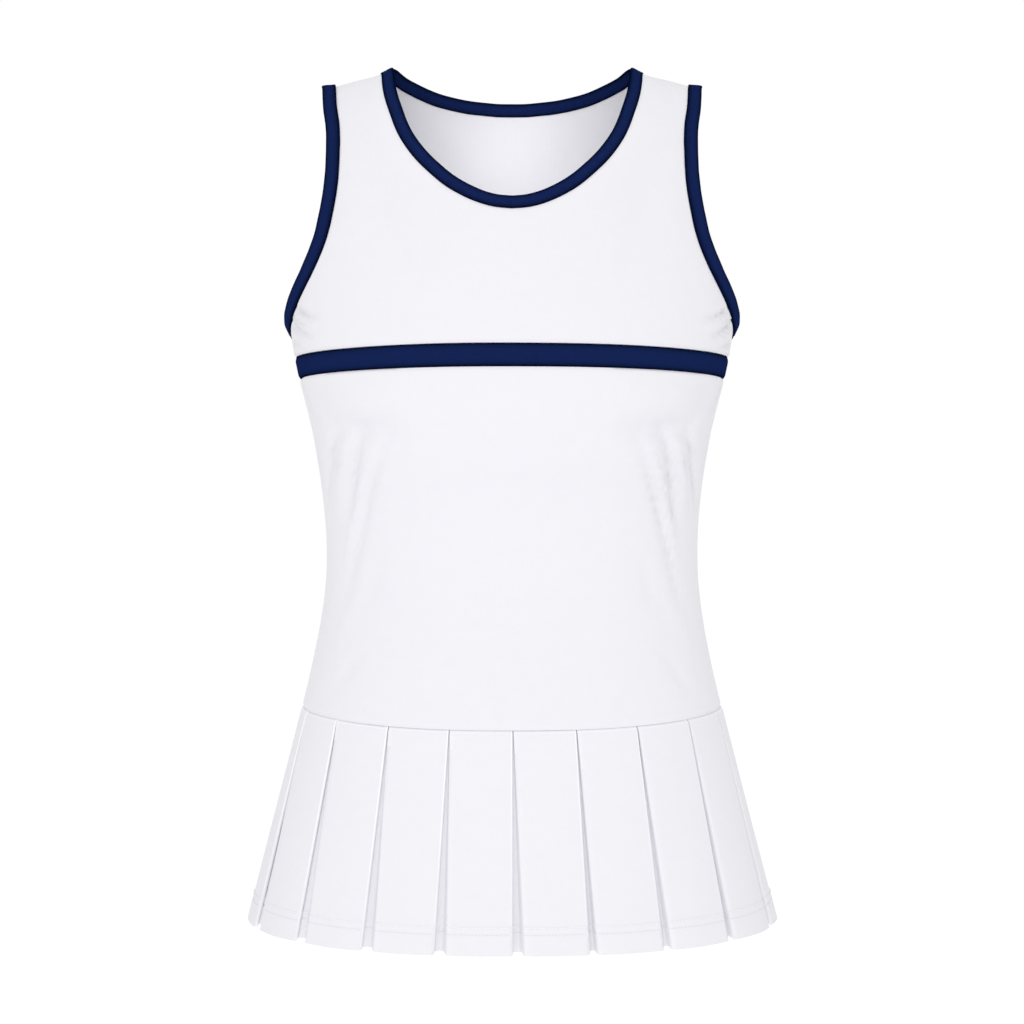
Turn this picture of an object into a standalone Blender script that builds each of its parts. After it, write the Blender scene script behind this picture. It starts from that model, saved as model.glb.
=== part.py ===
"""Sleeveless tennis top with a pleated skirt part, hollow as if worn.

The front faces -Y, up is +Z, and the origin is on the shoulder line at the
highest point of the shoulders, midway between them. Sizes are millimetres
and are turned into metres when a mesh is made.

A place on the body is given by its girth and its rise. Girth is 0 at centre
front, 1 at the side line and 2 at centre back, with a minus sign on the
wearer's right (-X). Rise is 0 at the bust line and 1 on the shoulder ridge.
"""

from collections import namedtuple

import bmesh
import bpy
import numpy as np

MM = 0.001

# Cloth
WALL = 1.1
SEAM_GAP = 0.3
HALF_GAP = SEAM_GAP / 2

# Body form
BUST_HEIGHT = -255.0
SIDE_OF_SHOULDER = -22.0
LOWER_STEP = 250.0
SECTION_POWER = 2.4
FRONT_POWER = 1.6
BACK_POWER = 2.4
MODEL_WIDTH = 150.0
MODEL_DEPTH = 105.0

Section = namedtuple("Section", "height half_width front_depth back_depth")
SECTIONS = [
    Section(-490, 159.0, 118.0, 113.0),
    Section(-470, 154.0, 113.0, 108.0),
    Section(-440, 146.8, 106.0, 101.5),
    Section(-410, 140.7, 99.0, 94.0),
    Section(-380, 137.0, 94.0, 87.0),
    Section(-350, 136.5, 93.0, 83.5),
    Section(-320, 138.4, 97.5, 85.5),
    Section(-290, 142.3, 106.5, 91.0),
    Section(-255, 149.6, 112.0, 97.0),
    Section(-225, 157.5, 112.0, 97.0),
    Section(-200, 161.8, 112.0, 97.0),
    Section(-180, 163.5, 112.0, 97.0),
    Section(-150, 164.0, 112.0, 97.0),
    Section(-22, 164.0, 112.0, 97.0),
]

RidgePoint = namedtuple("RidgePoint", "across height")
RIDGE = [
    RidgePoint(0, 44.0),
    RidgePoint(30, 36.0),
    RidgePoint(60, 17.5),
    RidgePoint(88, 0.0),
    RidgePoint(97, -4.5),
    RidgePoint(115, -9.5),
    RidgePoint(130, -13.3),
    RidgePoint(141, -16.2),
    RidgePoint(164, -22.0),
]

# Neck edge as seen from the front, from the centre to the shoulder ridge
EdgePoint = namedtuple("EdgePoint", "across height")
FRONT_NECK = [
    EdgePoint(0.0, -106.6),
    EdgePoint(12.0, -105.2),
    EdgePoint(24.0, -101.0),
    EdgePoint(37.5, -93.4),
    EdgePoint(51.5, -81.4),
    EdgePoint(63.0, -68.6),
    EdgePoint(72.0, -54.4),
    EdgePoint(79.0, -36.6),
    EdgePoint(84.4, -18.2),
    EdgePoint(88.0, 0.0),
]
BACK_NECK = [
    EdgePoint(0.0, -13.6),
    EdgePoint(16.0, -13.3),
    EdgePoint(32.0, -12.1),
    EdgePoint(48.0, -9.9),
    EdgePoint(64.0, -6.2),
    EdgePoint(77.0, -2.2),
    EdgePoint(88.0, 0.0),
]

# Armhole edge, from the shoulder ridge down to the side line; the share is
# the girth from the centre line to the side line
ArmholePoint = namedtuple("ArmholePoint", "height front_share back_share")
ARMHOLE = [
    ArmholePoint(-16.2, 0.665, 0.665),
    ArmholePoint(-32.0, 0.646, 0.656),
    ArmholePoint(-52.0, 0.624, 0.645),
    ArmholePoint(-72.0, 0.617, 0.642),
    ArmholePoint(-91.0, 0.618, 0.645),
    ArmholePoint(-113.0, 0.633, 0.657),
    ArmholePoint(-133.5, 0.660, 0.682),
    ArmholePoint(-152.0, 0.712, 0.728),
    ArmholePoint(-171.0, 0.802, 0.808),
    ArmholePoint(-182.0, 0.882, 0.884),
    ArmholePoint(-188.5, 0.952, 0.952),
    ArmholePoint(-190.5, 1.0, 1.0),
]

# Bindings, folded over the raw edge
BINDING_WIDTH = 10.0
PANEL_EDGE = 2.2
LEG_GAP = 0.45
LEG = 1.0
STAND_SHOULDER = 2.2
STAND_UNDERARM = 4.0
STAND_FULL_HEIGHT = -150.0

# Chest band, a straight strip that rises a little at centre front
BAND_TOP_CENTRE = -211.0
BAND_TOP_SIDE = -215.0
BAND_BOTTOM_CENTRE = -227.5
BAND_BOTTOM_SIDE = -231.0

# Drop-waist seam and pleated skirt part
SEAM_SIDE = -470.0
SEAM_DIP_FRONT = 8.0
SEAM_DIP_BACK = 5.0
HEM_SIDE = -624.0
HEM_DIP_FRONT = 6.0
HEM_DIP_BACK = 4.0
HEM_HALF_WIDTH = 193.0
HEM_FRONT_DEPTH = 130.0
HEM_BACK_DEPTH = 127.0
PLEATS_EACH_SIDE = 10
FOLD_RADIUS = 0.85
INTAKE_SEAM = 12.0
INTAKE_HEM = 10.0
RISE_START = 0.5
RISE_SEAM = 3.0
RISE_HEM = 11.0
POCKET_HEM = 3.5
MOUTH_HEM = 2.5
BOW_HEM = 0.8
SKIRT_ROWS = [0.0, 0.25, 0.5, 0.75, 1.0]

# Mesh steps
SCOOP_STEPS = 6
STRAP_STEPS = 9
UNDERARM_STEPS = 9
STRAP_COLUMNS = 3
CHEST_ROWS = 6
NECK_TURN = 0.42
ARMHOLE_TURN = 0.52
CROWDING = 1.3
BODY_ROWS = 10
BAND_ROWS = 1

# Finer steps that only measure
ANGLE_SAMPLES = 2001
EDGE_SAMPLES = 121
RING_SAMPLES = 241
SLOPE_STEP = 0.01
RUN_STEP = 3.0
SMALL_STEPS = 5
LEVEL_ROUNDS = 8
SEAM_ROUNDS = 3
EDGE_ROUNDS = 2
MERGE = 0.00001

COLOURS = {
    "white": ((0.87, 0.87, 0.91, 1.0), 0.75),
    "navy": ((0.010, 0.022, 0.110, 1.0), 0.70),
}


def clear_scene():
    for old in list(bpy.data.objects):
        bpy.data.objects.remove(old, do_unlink=True)


def smooth(rows, column, at):
    """Smooth curve through a table: first column the place, other the value."""
    table = np.array(sorted(rows), float)
    places, values = table[:, 0], table[:, column]
    slopes = np.gradient(values, places)
    at = np.clip(at, places[0], places[-1])
    k = np.clip(np.searchsorted(places, at) - 1, 0, len(places) - 2)
    gap = places[k + 1] - places[k]
    t = (at - places[k]) / gap
    start = (1 + 2 * t) * (1 - t) ** 2 * values[k]
    leaving = t * (1 - t) ** 2 * gap * slopes[k]
    end = t * t * (3 - 2 * t) * values[k + 1]
    arriving = t * t * (t - 1) * gap * slopes[k + 1]
    return start + leaving + end + arriving


def model_section():
    """Angles of a quarter of the section and the share of its length at each."""
    angles = np.linspace(0, np.pi / 2, ANGLE_SAMPLES)
    x = MODEL_WIDTH * np.sin(angles) ** (2 / SECTION_POWER)
    y = MODEL_DEPTH * np.cos(angles) ** (2 / SECTION_POWER)
    lengths = np.concatenate([[0], np.cumsum(np.hypot(np.diff(x), np.diff(y)))])
    return angles, lengths / lengths[-1]


ANGLES, SHARES = model_section()


def surface(girth, rise):
    """Middle of the cloth at a girth and rise; a rise over 1 is past the ridge."""
    girth, rise = np.broadcast_arrays(np.asarray(girth, float), np.asarray(rise, float))
    girth = np.where(girth > 2, girth - 4, np.where(girth < -2, girth + 4, girth))
    sign = np.where(girth < 0, -1.0, 1.0)
    past = rise > 1
    girth = np.where(past, 2 - np.abs(girth), np.abs(girth))
    rise = np.where(past, 2 - rise, rise)
    front = girth < 1
    angle = np.interp(np.where(front, girth, 2 - girth), SHARES, ANGLES)
    across = np.sin(angle) ** (2 / SECTION_POWER)
    deep = np.abs(np.cos(angle)) ** (2 / SECTION_POWER)
    power = np.where(front, FRONT_POWER, BACK_POWER)
    turn = np.clip(rise, 0, 1) * np.pi / 2
    up = np.sin(turn)
    closing = np.clip(1 - up**power, 0, 1) ** (1 / power)
    upper_level = BUST_HEIGHT + up * (SIDE_OF_SHOULDER - BUST_HEIGHT)
    lower_level = BUST_HEIGHT + rise * LOWER_STEP
    level = np.where(rise > 0, upper_level, lower_level)
    x = smooth(SECTIONS, 1, level) * across
    depth = np.where(front, -smooth(SECTIONS, 2, level), smooth(SECTIONS, 3, level))
    ridge = smooth(RIDGE, 1, x)
    z = np.where(rise > 0, BUST_HEIGHT + up * (ridge - BUST_HEIGHT), lower_level)
    return np.stack([sign * x, depth * deep * closing, z], axis=-1)


def slopes_at(girth, rise):
    """Differences of the surface along girth and along rise."""
    step = SLOPE_STEP
    along_girth = surface(girth + step, rise) - surface(girth - step, rise)
    along_rise = surface(girth, rise + step) - surface(girth, rise - step)
    return along_girth / (2 * step), along_rise / (2 * step)


def unit(vectors):
    return vectors / np.linalg.norm(vectors, axis=-1, keepdims=True)


def outward(girth, rise):
    along_girth, along_rise = slopes_at(girth, rise)
    return unit(np.cross(along_girth, along_rise))


def rise_at(girth, height):
    """The rise at which the surface has this height, at this girth."""
    girth, height = np.broadcast_arrays(np.asarray(girth, float), np.asarray(height, float))
    share = np.where(np.abs(girth) < 1, np.abs(girth), 2 - np.abs(girth))
    across = np.sin(np.interp(share, SHARES, ANGLES)) ** (2 / SECTION_POWER)
    up = np.clip((height - BUST_HEIGHT) / -BUST_HEIGHT, 0, 1)
    for _ in range(LEVEL_ROUNDS):
        level = BUST_HEIGHT + up * (SIDE_OF_SHOULDER - BUST_HEIGHT)
        ridge = smooth(RIDGE, 1, smooth(SECTIONS, 1, level) * across)
        up = np.clip((height - BUST_HEIGHT) / (ridge - BUST_HEIGHT), 0, 1)
    upper = np.arcsin(up) / (np.pi / 2)
    return np.where(height > BUST_HEIGHT, upper, (height - BUST_HEIGHT) / LOWER_STEP)


def girth_across(across, height, back):
    """The girth at which the surface is this far across, at this height."""
    ridge = float(smooth(RIDGE, 1, across))
    up = (height - BUST_HEIGHT) / (ridge - BUST_HEIGHT)
    level = BUST_HEIGHT + up * (SIDE_OF_SHOULDER - BUST_HEIGHT)
    angle = np.arcsin((across / smooth(SECTIONS, 1, level)) ** (SECTION_POWER / 2))
    girth = float(np.interp(angle, ANGLES, SHARES))
    return 2 - girth if back else girth


def through(girths, rises, shares):
    """Places at the given shares of the length of a smooth curve."""
    girths, rises = np.array(girths, float), np.array(rises, float)
    even = np.linspace(0, 1, EDGE_SAMPLES)
    for wanted in [even] * (EDGE_ROUNDS - 1) + [shares]:
        points = surface(girths, rises)
        steps = np.linalg.norm(np.diff(points, axis=0), axis=1)
        length = np.concatenate([[0], np.cumsum(steps)])
        length = length / length[-1]
        table = np.stack([length, girths, rises], axis=1)
        girths, rises = smooth(table.tolist(), 1, wanted), smooth(table.tolist(), 2, wanted)
    return girths, rises


def neck_edge(back, shares):
    """Neck edge from the centre to the shoulder ridge."""
    rows = BACK_NECK if back else FRONT_NECK
    girths = [girth_across(row.across, row.height, back) for row in rows]
    rises = [float(rise_at(g, row.height)) for g, row in zip(girths, rows)]
    rises[-1] = 1.0
    return through(girths, rises, shares)


def armhole_edge(back, shares):
    """Armhole edge from the shoulder ridge to the side line."""
    girths = [2 - row.back_share if back else row.front_share for row in ARMHOLE]
    rises = [float(rise_at(g, row.height)) for g, row in zip(girths, ARMHOLE)]
    rises[0] = 1.0
    return through(girths, rises, shares)


def over_ridge(girth, rise):
    """The same place named from the front, with a rise over 1 at the back."""
    back = np.abs(girth) > 1
    from_front = np.sign(girth) * (2 - np.abs(girth))
    return np.where(back, from_front, girth), np.where(back, 2 - rise, rise)


def walk(girth, rise, direction, distance):
    """Moves along the surface by a distance, straight ahead in a direction."""
    step = distance / SMALL_STEPS
    for _ in range(SMALL_STEPS):
        along_girth, along_rise = slopes_at(girth, rise)
        normal = unit(np.cross(along_girth, along_rise))
        flat = direction - normal * np.sum(direction * normal, axis=-1, keepdims=True)
        ahead = unit(flat) * step
        gg = np.sum(along_girth * along_girth, axis=-1)
        gr = np.sum(along_girth * along_rise, axis=-1)
        rr = np.sum(along_rise * along_rise, axis=-1)
        ag = np.sum(along_girth * ahead, axis=-1)
        ar = np.sum(along_rise * ahead, axis=-1)
        area = gg * rr - gr * gr
        girth = girth + (rr * ag - gr * ar) / area
        rise = rise + (gg * ar - gr * ag) / area
    return girth, rise


def strip_beside(girth, rise):
    """Function from a distance to the places that far inside a closed edge."""
    points = surface(girth, rise)
    ahead = np.roll(points, -1, axis=0) - np.roll(points, 1, axis=0)
    sideways = unit(np.cross(unit(ahead), outward(girth, rise)))

    def at(distance):
        if distance == 0:
            return girth, rise
        return walk(girth, rise, sideways, distance)

    return at


def stand(points, distance):
    """How far the armhole binding stands off the body form, this far from its fold."""
    down = np.clip(points[..., 2] / STAND_FULL_HEIGHT, 0, 1)
    full = STAND_SHOULDER + (STAND_UNDERARM - STAND_SHOULDER) * down
    return full * (1 - distance / BINDING_WIDTH)


def make_material(colour):
    material = bpy.data.materials.new(colour + "_knit")
    material.use_nodes = True
    shader = material.node_tree.nodes["Principled BSDF"]
    value, roughness = COLOURS[colour]
    shader.inputs["Base Color"].default_value = value
    shader.inputs["Roughness"].default_value = roughness
    shader.inputs["Metallic"].default_value = 0.0
    return material


def make_object(name, points, faces, colour, collection):
    mesh = bpy.data.meshes.new(name)
    mesh.from_pydata((np.asarray(points) * MM).tolist(), [], faces)
    mesh.materials.append(make_material(colour))
    made = bpy.data.objects.new(name, mesh)
    collection.objects.link(made)
    tidy = bmesh.new()
    tidy.from_mesh(mesh)
    bmesh.ops.remove_doubles(tidy, verts=tidy.verts, dist=MERGE)
    bmesh.ops.recalc_face_normals(tidy, faces=tidy.faces)
    tidy.to_mesh(mesh)
    tidy.free()
    return made


def net_faces(rows, columns, first=0, closed=False):
    """Four-sided faces over a net of points kept row by row."""
    faces = []
    for r in range(rows - 1):
        for c in range(columns if closed else columns - 1):
            right = (c + 1) % columns
            a = first + r * columns
            b = a + columns
            faces.append((a + c, a + right, b + right, b + c))
    return faces


def net_points(girth, rise, distance=None):
    """Points of a net; one along an armhole also has its distances from the edge."""
    points = surface(girth, rise)
    if distance is None:
        return points
    return points + outward(girth, rise) * stand(points, distance)[..., None]


def panel(name, nets, front, colour, collection):
    """Cloth panel from nets of (girth, rise) that share their edges."""
    keep, limit = (np.minimum, -HALF_GAP) if front else (np.maximum, HALF_GAP)
    points, faces = [], []
    for net in nets:
        net = net_points(*net)
        net[..., 1] = keep(net[..., 1], limit)
        faces += net_faces(net.shape[0], net.shape[1], len(points))
        points += net.reshape(-1, 3).tolist()
    made = make_object(name, points, faces, colour, collection)
    wall = made.modifiers.new("wall", "SOLIDIFY")
    wall.thickness = WALL * MM
    wall.offset = 0.0
    wall.use_even_offset = True
    return made


def level_row(height_centre, height_side, back):
    """Half row across a panel, from the centre to the side, at a bowed height."""
    girth = column_girths(back)
    bow = np.abs(np.cos(np.interp(girth, SHARES, ANGLES))) ** 2
    height = height_side + (height_centre - height_side) * bow
    return named_from_front(girth, height, back)


def named_from_front(girth, height, back):
    """Places at these heights; those at the back get a rise over 1."""
    rise = rise_at(2 - girth if back else girth, height)
    return girth, 2 - rise if back else rise


def neck_shares():
    low = np.linspace(0, NECK_TURN, SCOOP_STEPS + 1)
    rest = 1 - (1 - np.linspace(0, 1, STRAP_STEPS + 1)) ** CROWDING
    return np.concatenate([low, NECK_TURN + (1 - NECK_TURN) * rest[1:]])


def armhole_shares():
    """Shares of the armhole edge, closer together at the shoulder."""
    high = ARMHOLE_TURN * np.linspace(0, 1, STRAP_STEPS + 1) ** CROWDING
    return np.concatenate([high, np.linspace(ARMHOLE_TURN, 1, UNDERARM_STEPS + 1)[1:]])


def neck_ring():
    """Neck edge from centre front over both shoulders, as a closed curve."""
    shares = neck_shares()
    front = neck_edge(False, shares)
    back = over_ridge(*neck_edge(True, shares))
    half_girth = np.concatenate([front[0], back[0][-2::-1]])
    half_rise = np.concatenate([front[1], back[1][-2::-1]])
    girth = np.concatenate([half_girth, -half_girth[-2:0:-1]])
    rise = np.concatenate([half_rise, half_rise[-2:0:-1]])
    return girth, rise


def armhole_ring():
    """Left armhole edge from the shoulder down the front and up the back."""
    shares = armhole_shares()
    front = armhole_edge(False, shares)
    back = over_ridge(*armhole_edge(True, shares))
    girth = np.concatenate([front[0], back[0][-2:0:-1]])
    rise = np.concatenate([front[1], back[1][-2:0:-1]])
    return girth, rise


def neck_line(back, distance):
    """The line this far inside the neck edge, from the centre to the ridge."""
    girth, rise = strip_beside(*neck_ring())(distance)
    ridge = SCOOP_STEPS + STRAP_STEPS
    girth[[0, 2 * ridge]] = 0.0
    rise[ridge] = 1.0
    picked = np.arange(2 * ridge, ridge - 1, -1) if back else np.arange(ridge + 1)
    return girth[picked], rise[picked]


def armhole_line(back, distance):
    """The line this far inside the armhole edge, from the side to the ridge."""
    girth, rise = strip_beside(*armhole_ring())(distance)
    rise[0] = 1.0
    side = STRAP_STEPS + UNDERARM_STEPS
    girth[side] = 1.0
    picked = np.arange(side, -1, -1)
    if back:
        rise[side] = 2 - rise[side]
        picked = np.append(np.arange(side, 2 * side), 0)
    return girth[picked], rise[picked]


def between(first, last, steps):
    """Net of places from one line to another."""
    share = np.linspace(0, 1, steps + 1)[:, None]
    return [first[k][None, :] * (1 - share) + last[k][None, :] * share for k in range(2)]


def both_sides(net):
    """A net from the centre to the side made into one from side to side."""
    girth, rise = net
    whole_girth = np.concatenate([-girth[:, :0:-1], girth], axis=1)
    whole_rise = np.concatenate([rise[:, :0:-1], rise], axis=1)
    return whole_girth, whole_rise


def strap_net(back):
    """Net of the strap, from the neck binding to the armhole binding."""
    neck = [line[SCOOP_STEPS:] for line in neck_line(back, BINDING_WIDTH)]
    arm = [line[UNDERARM_STEPS:] for line in armhole_line(back, BINDING_WIDTH)]
    return between(neck, arm, STRAP_COLUMNS)


def strap_foot(back):
    """Line from centre along the neck, across the strap and down the armhole."""
    neck = neck_line(back, BINDING_WIDTH)
    arm = armhole_line(back, BINDING_WIDTH)
    strap = strap_net(back)
    pieces = [
        (neck[k][:SCOOP_STEPS], strap[k][:, 0], arm[k][UNDERARM_STEPS - 1 :: -1])
        for k in range(2)
    ]
    return [np.concatenate(three) for three in pieces]


def column_girths(back):
    """Girths of the columns low on the body, spread between those above."""
    foot = strap_foot(back)[0]
    return (foot + np.linspace(0, 1, len(foot))) / 2


def upper_nets(back, lower):
    """Nets over the chest, the straps and the strips under the bindings."""
    chest = between(strap_foot(back), lower, CHEST_ROWS)
    neck = between(neck_line(back, PANEL_EDGE), neck_line(back, BINDING_WIDTH), 1)
    strap = strap_net(back)
    girth, rise = between(armhole_line(back, BINDING_WIDTH), armhole_line(back, PANEL_EDGE), 1)
    distance = np.array([[BINDING_WIDTH], [PANEL_EDGE]])
    right = [tuple(strap), (girth, rise, distance)]
    left = [(-net[0],) + net[1:] for net in right]
    return [both_sides(chest), both_sides(neck)] + right + left


def seam_height(points, gap):
    """Height of the drop-waist line at points of the body, lowered by a gap."""
    front = points[..., 1] < 0
    section = SECTIONS[1]
    depth = np.where(front, section.front_depth, section.back_depth)
    dip = np.where(front, SEAM_DIP_FRONT, SEAM_DIP_BACK)
    return SEAM_SIDE - dip * (points[..., 1] / depth) ** 2 - gap


def seam_row(back, gap):
    girth = column_girths(back)
    places = named_from_front(girth, SEAM_SIDE, back)
    for _ in range(SEAM_ROUNDS):
        places = named_from_front(girth, seam_height(surface(*places), gap), back)
    return places


def yoke(collection):
    lower = level_row(BAND_TOP_CENTRE + HALF_GAP, BAND_TOP_SIDE + HALF_GAP, False)
    return panel("front_yoke", upper_nets(False, lower), True, "white", collection)


def chest_band(collection):
    top = level_row(BAND_TOP_CENTRE - HALF_GAP, BAND_TOP_SIDE - HALF_GAP, False)
    centre, side = BAND_BOTTOM_CENTRE + HALF_GAP, BAND_BOTTOM_SIDE + HALF_GAP
    bottom = level_row(centre, side, False)
    nets = [both_sides(between(top, bottom, BAND_ROWS))]
    return panel("chest_band", nets, True, "navy", collection)


def front_body(collection):
    centre, side = BAND_BOTTOM_CENTRE - HALF_GAP, BAND_BOTTOM_SIDE - HALF_GAP
    top = level_row(centre, side, False)
    bottom = seam_row(False, -HALF_GAP)
    nets = [both_sides(between(top, bottom, BODY_ROWS))]
    return panel("front_body", nets, True, "white", collection)


def back_panel(collection):
    lower = level_row(BAND_TOP_SIDE, BAND_TOP_SIDE, True)
    bottom = seam_row(True, -HALF_GAP)
    nets = upper_nets(True, lower) + [both_sides(between(lower, bottom, BODY_ROWS))]
    return panel("back_panel", nets, False, "white", collection)


def binding_section():
    """Places round the folded strip: distance from the fold, and height."""
    inside = WALL / 2 + LEG_GAP
    outside = inside + LEG
    turn = LEG
    return [
        (BINDING_WIDTH, outside),
        (turn, outside),
        (0.0, inside * 0.5),
        (0.0, -inside * 0.5),
        (turn, -outside),
        (BINDING_WIDTH, -outside),
        (BINDING_WIDTH, -inside),
        (PANEL_EDGE - LEG_GAP * 2, -inside),
        (PANEL_EDGE - LEG_GAP * 2, inside),
        (BINDING_WIDTH, inside),
    ]


def binding(name, edge, side, stands, collection):
    """Folded strip round a closed edge curve, or its mirror image."""
    beside = strip_beside(*edge)
    points = []
    for distance, height in binding_section():
        girth, rise = beside(distance)
        middle = surface(girth, rise)
        off = height + stands * stand(middle, distance)
        ring = middle + outward(girth, rise) * off[:, None]
        points += (ring * [side, 1, 1]).tolist()
    count = len(edge[0])
    around = len(binding_section())
    faces = net_faces(around, count, 0, True)
    last = (around - 1) * count
    for c in range(count):
        right = (c + 1) % count
        faces.append((last + c, last + right, right, c))
    return make_object(name, points, faces, "navy", collection)


def skirt_ring(share):
    """Closed horizontal ring of the skirt part: points, outward, lengths."""
    half = np.linspace(-1, 1, RING_SAMPLES)
    girth = np.concatenate([half, np.sign(-half) * (2 - np.abs(half))])
    girth[RING_SAMPLES + RING_SAMPLES // 2] = 2.0
    back = np.arange(len(girth)) >= RING_SAMPLES
    rise = rise_at(girth, SEAM_SIDE)
    for _ in range(SEAM_ROUNDS):
        rise = rise_at(girth, seam_height(surface(girth, rise), HALF_GAP))
    top = surface(girth, rise)
    angle = np.interp(np.where(back, 2 - np.abs(girth), np.abs(girth)), SHARES, ANGLES)
    deep = np.cos(angle) ** (2 / SECTION_POWER)
    depth = np.where(back, HEM_BACK_DEPTH, -HEM_FRONT_DEPTH)
    dip = np.where(back, HEM_DIP_BACK, HEM_DIP_FRONT)
    x = np.sign(girth) * HEM_HALF_WIDTH * np.sin(angle) ** (2 / SECTION_POWER)
    hem = np.stack([x, depth * deep, HEM_SIDE - dip * deep**2], axis=-1)
    ring = top * (1 - share) + hem * share
    flat = np.diff(ring[:, :2], axis=0)
    lengths = np.concatenate([[0], np.cumsum(np.linalg.norm(flat, axis=1))])
    return ring, lengths


def pleat_line(share):
    """Middle of the cloth over one crease: distance past the crease, and out."""
    fold = FOLD_RADIUS
    intake = INTAKE_SEAM + (INTAKE_HEM - INTAKE_SEAM) * share
    rising = RISE_SEAM + (RISE_HEM - RISE_SEAM) * share
    pocket = POCKET_HEM * share
    mouth = MOUTH_HEM * share
    before = [
        (-fold, 0.0),
        (0.0, -fold),
        (-fold, -2 * fold),
        (fold - intake, -2 * fold - pocket),
        (-intake, -3 * fold - pocket),
        (fold - intake, -4 * fold - pocket),
    ]
    after = [
        (RISE_START, -4 * fold - mouth),
        (rising, 0.0),
    ]
    return before, after


def mitred(line, distance):
    """A line of (along, out) points moved sideways, corners kept even."""
    line = np.array(line)
    runs = unit(np.diff(line, axis=0))
    sides = np.stack([-runs[:, 1], runs[:, 0]], axis=1)
    first = np.concatenate([sides[:1], sides])
    second = np.concatenate([sides, sides[-1:]])
    middle = unit(first + second)
    reach = distance / np.sum(middle * first, axis=1)
    return line + middle * reach[:, None]


def skirt_line(share, ring_lengths, back):
    """Middle of the cloth over one half of the skirt part."""
    before, after = pleat_line(share)
    middle = len(ring_lengths) // 2
    start = ring_lengths[middle] if back else 0.0
    end = ring_lengths[-1] if back else ring_lengths[middle - 1]
    pitch = (end - start) / PLEATS_EACH_SIDE
    joint = np.array([before[-1], after[0]]).mean(axis=0)
    past = (HALF_GAP, 0.0)
    line = [(start + joint[0] + past[0], joint[1])]
    for k in range(PLEATS_EACH_SIDE):
        crease = start + k * pitch
        line += [(crease + s, out) for s, out in after]
        line.append((crease + pitch / 2, BOW_HEM * share))
        line += [(crease + pitch + s, out) for s, out in before]
    line.append((end + joint[0] - past[0], joint[1]))
    return line


def on_ring(ring, lengths, along):
    at = np.mod(along, lengths[-1])
    return np.stack([np.interp(at, lengths, ring[:, k]) for k in range(3)], axis=-1)


def ring_place(ring, lengths, along, out):
    """Points this far along a ring and this far outside it."""
    point = on_ring(ring, lengths, along)
    ahead = on_ring(ring, lengths, along + RUN_STEP)
    behind = on_ring(ring, lengths, along - RUN_STEP)
    run = unit(ahead[:, :2] - behind[:, :2])
    point[:, 0] += run[:, 1] * out
    point[:, 1] -= run[:, 0] * out
    return point


def peplum(name, back, collection):
    """Half of the pleated skirt part, its joins hidden under the side pleats."""
    skins = []
    for side in (1, -1):
        for share in SKIRT_ROWS:
            ring, lengths = skirt_ring(share)
            line = mitred(skirt_line(share, lengths, back), side * WALL / 2)
            skins.append(ring_place(ring, lengths, line[:, 0], line[:, 1]))
    rows, columns = len(SKIRT_ROWS), len(skins[0])
    points = np.concatenate(skins)
    faces = net_faces(rows, columns) + net_faces(rows, columns, rows * columns)
    inner = rows * columns
    for row in (0, rows - 1):
        for c in range(columns - 1):
            a = row * columns + c
            faces.append((a, a + 1, inner + a + 1, inner + a))
    for c in (0, columns - 1):
        for row in range(rows - 1):
            a = row * columns + c
            faces.append((a, a + columns, inner + a + columns, inner + a))
    return make_object(name, points, faces, "white", collection)


def build():
    clear_scene()
    garment = bpy.data.collections.new("tennis_top")
    bpy.context.scene.collection.children.link(garment)
    yoke(garment)
    chest_band(garment)
    front_body(garment)
    back_panel(garment)
    binding("neck_binding", neck_ring(), 1, 0, garment)
    binding("armhole_binding_left", armhole_ring(), 1, 1, garment)
    binding("armhole_binding_right", armhole_ring(), -1, 1, garment)
    peplum("peplum_front", False, garment)
    peplum("peplum_back", True, garment)


build()
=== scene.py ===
"""Looks of the sleeveless tennis top: knit cloth, bindings, pleats, stitching,
soft creases and studio light. Sizes are millimetres unless a name says
otherwise, and are turned into metres when a mesh is made."""

from collections import namedtuple

import bpy
import numpy as np
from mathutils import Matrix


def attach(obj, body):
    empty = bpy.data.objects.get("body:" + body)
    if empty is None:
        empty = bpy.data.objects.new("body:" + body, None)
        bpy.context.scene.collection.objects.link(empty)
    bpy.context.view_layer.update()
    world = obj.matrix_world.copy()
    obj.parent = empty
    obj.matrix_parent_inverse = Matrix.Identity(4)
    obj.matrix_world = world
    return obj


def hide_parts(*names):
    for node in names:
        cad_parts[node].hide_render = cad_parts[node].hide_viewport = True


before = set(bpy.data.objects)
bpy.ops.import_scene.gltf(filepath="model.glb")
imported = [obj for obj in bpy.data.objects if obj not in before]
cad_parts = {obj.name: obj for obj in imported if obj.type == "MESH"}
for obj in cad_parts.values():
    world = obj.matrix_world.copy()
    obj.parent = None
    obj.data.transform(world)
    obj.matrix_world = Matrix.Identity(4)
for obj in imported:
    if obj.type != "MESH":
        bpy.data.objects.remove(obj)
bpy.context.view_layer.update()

MM = 0.001
rng = np.random.default_rng(12)

# Cloth as it shows
CLOTH = 0.8
BINDING_CLOTH = 0.7
HALF_GAP = 0.15
SHARP_FROM = np.radians(62)

# Body form
BUST_HEIGHT = -255.0
SIDE_OF_SHOULDER = -22.0
LOWER_STEP = 250.0
SECTION_POWER = 2.4
FRONT_POWER = 1.6
BACK_POWER = 2.4
MODEL_WIDTH = 150.0
MODEL_DEPTH = 105.0

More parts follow.
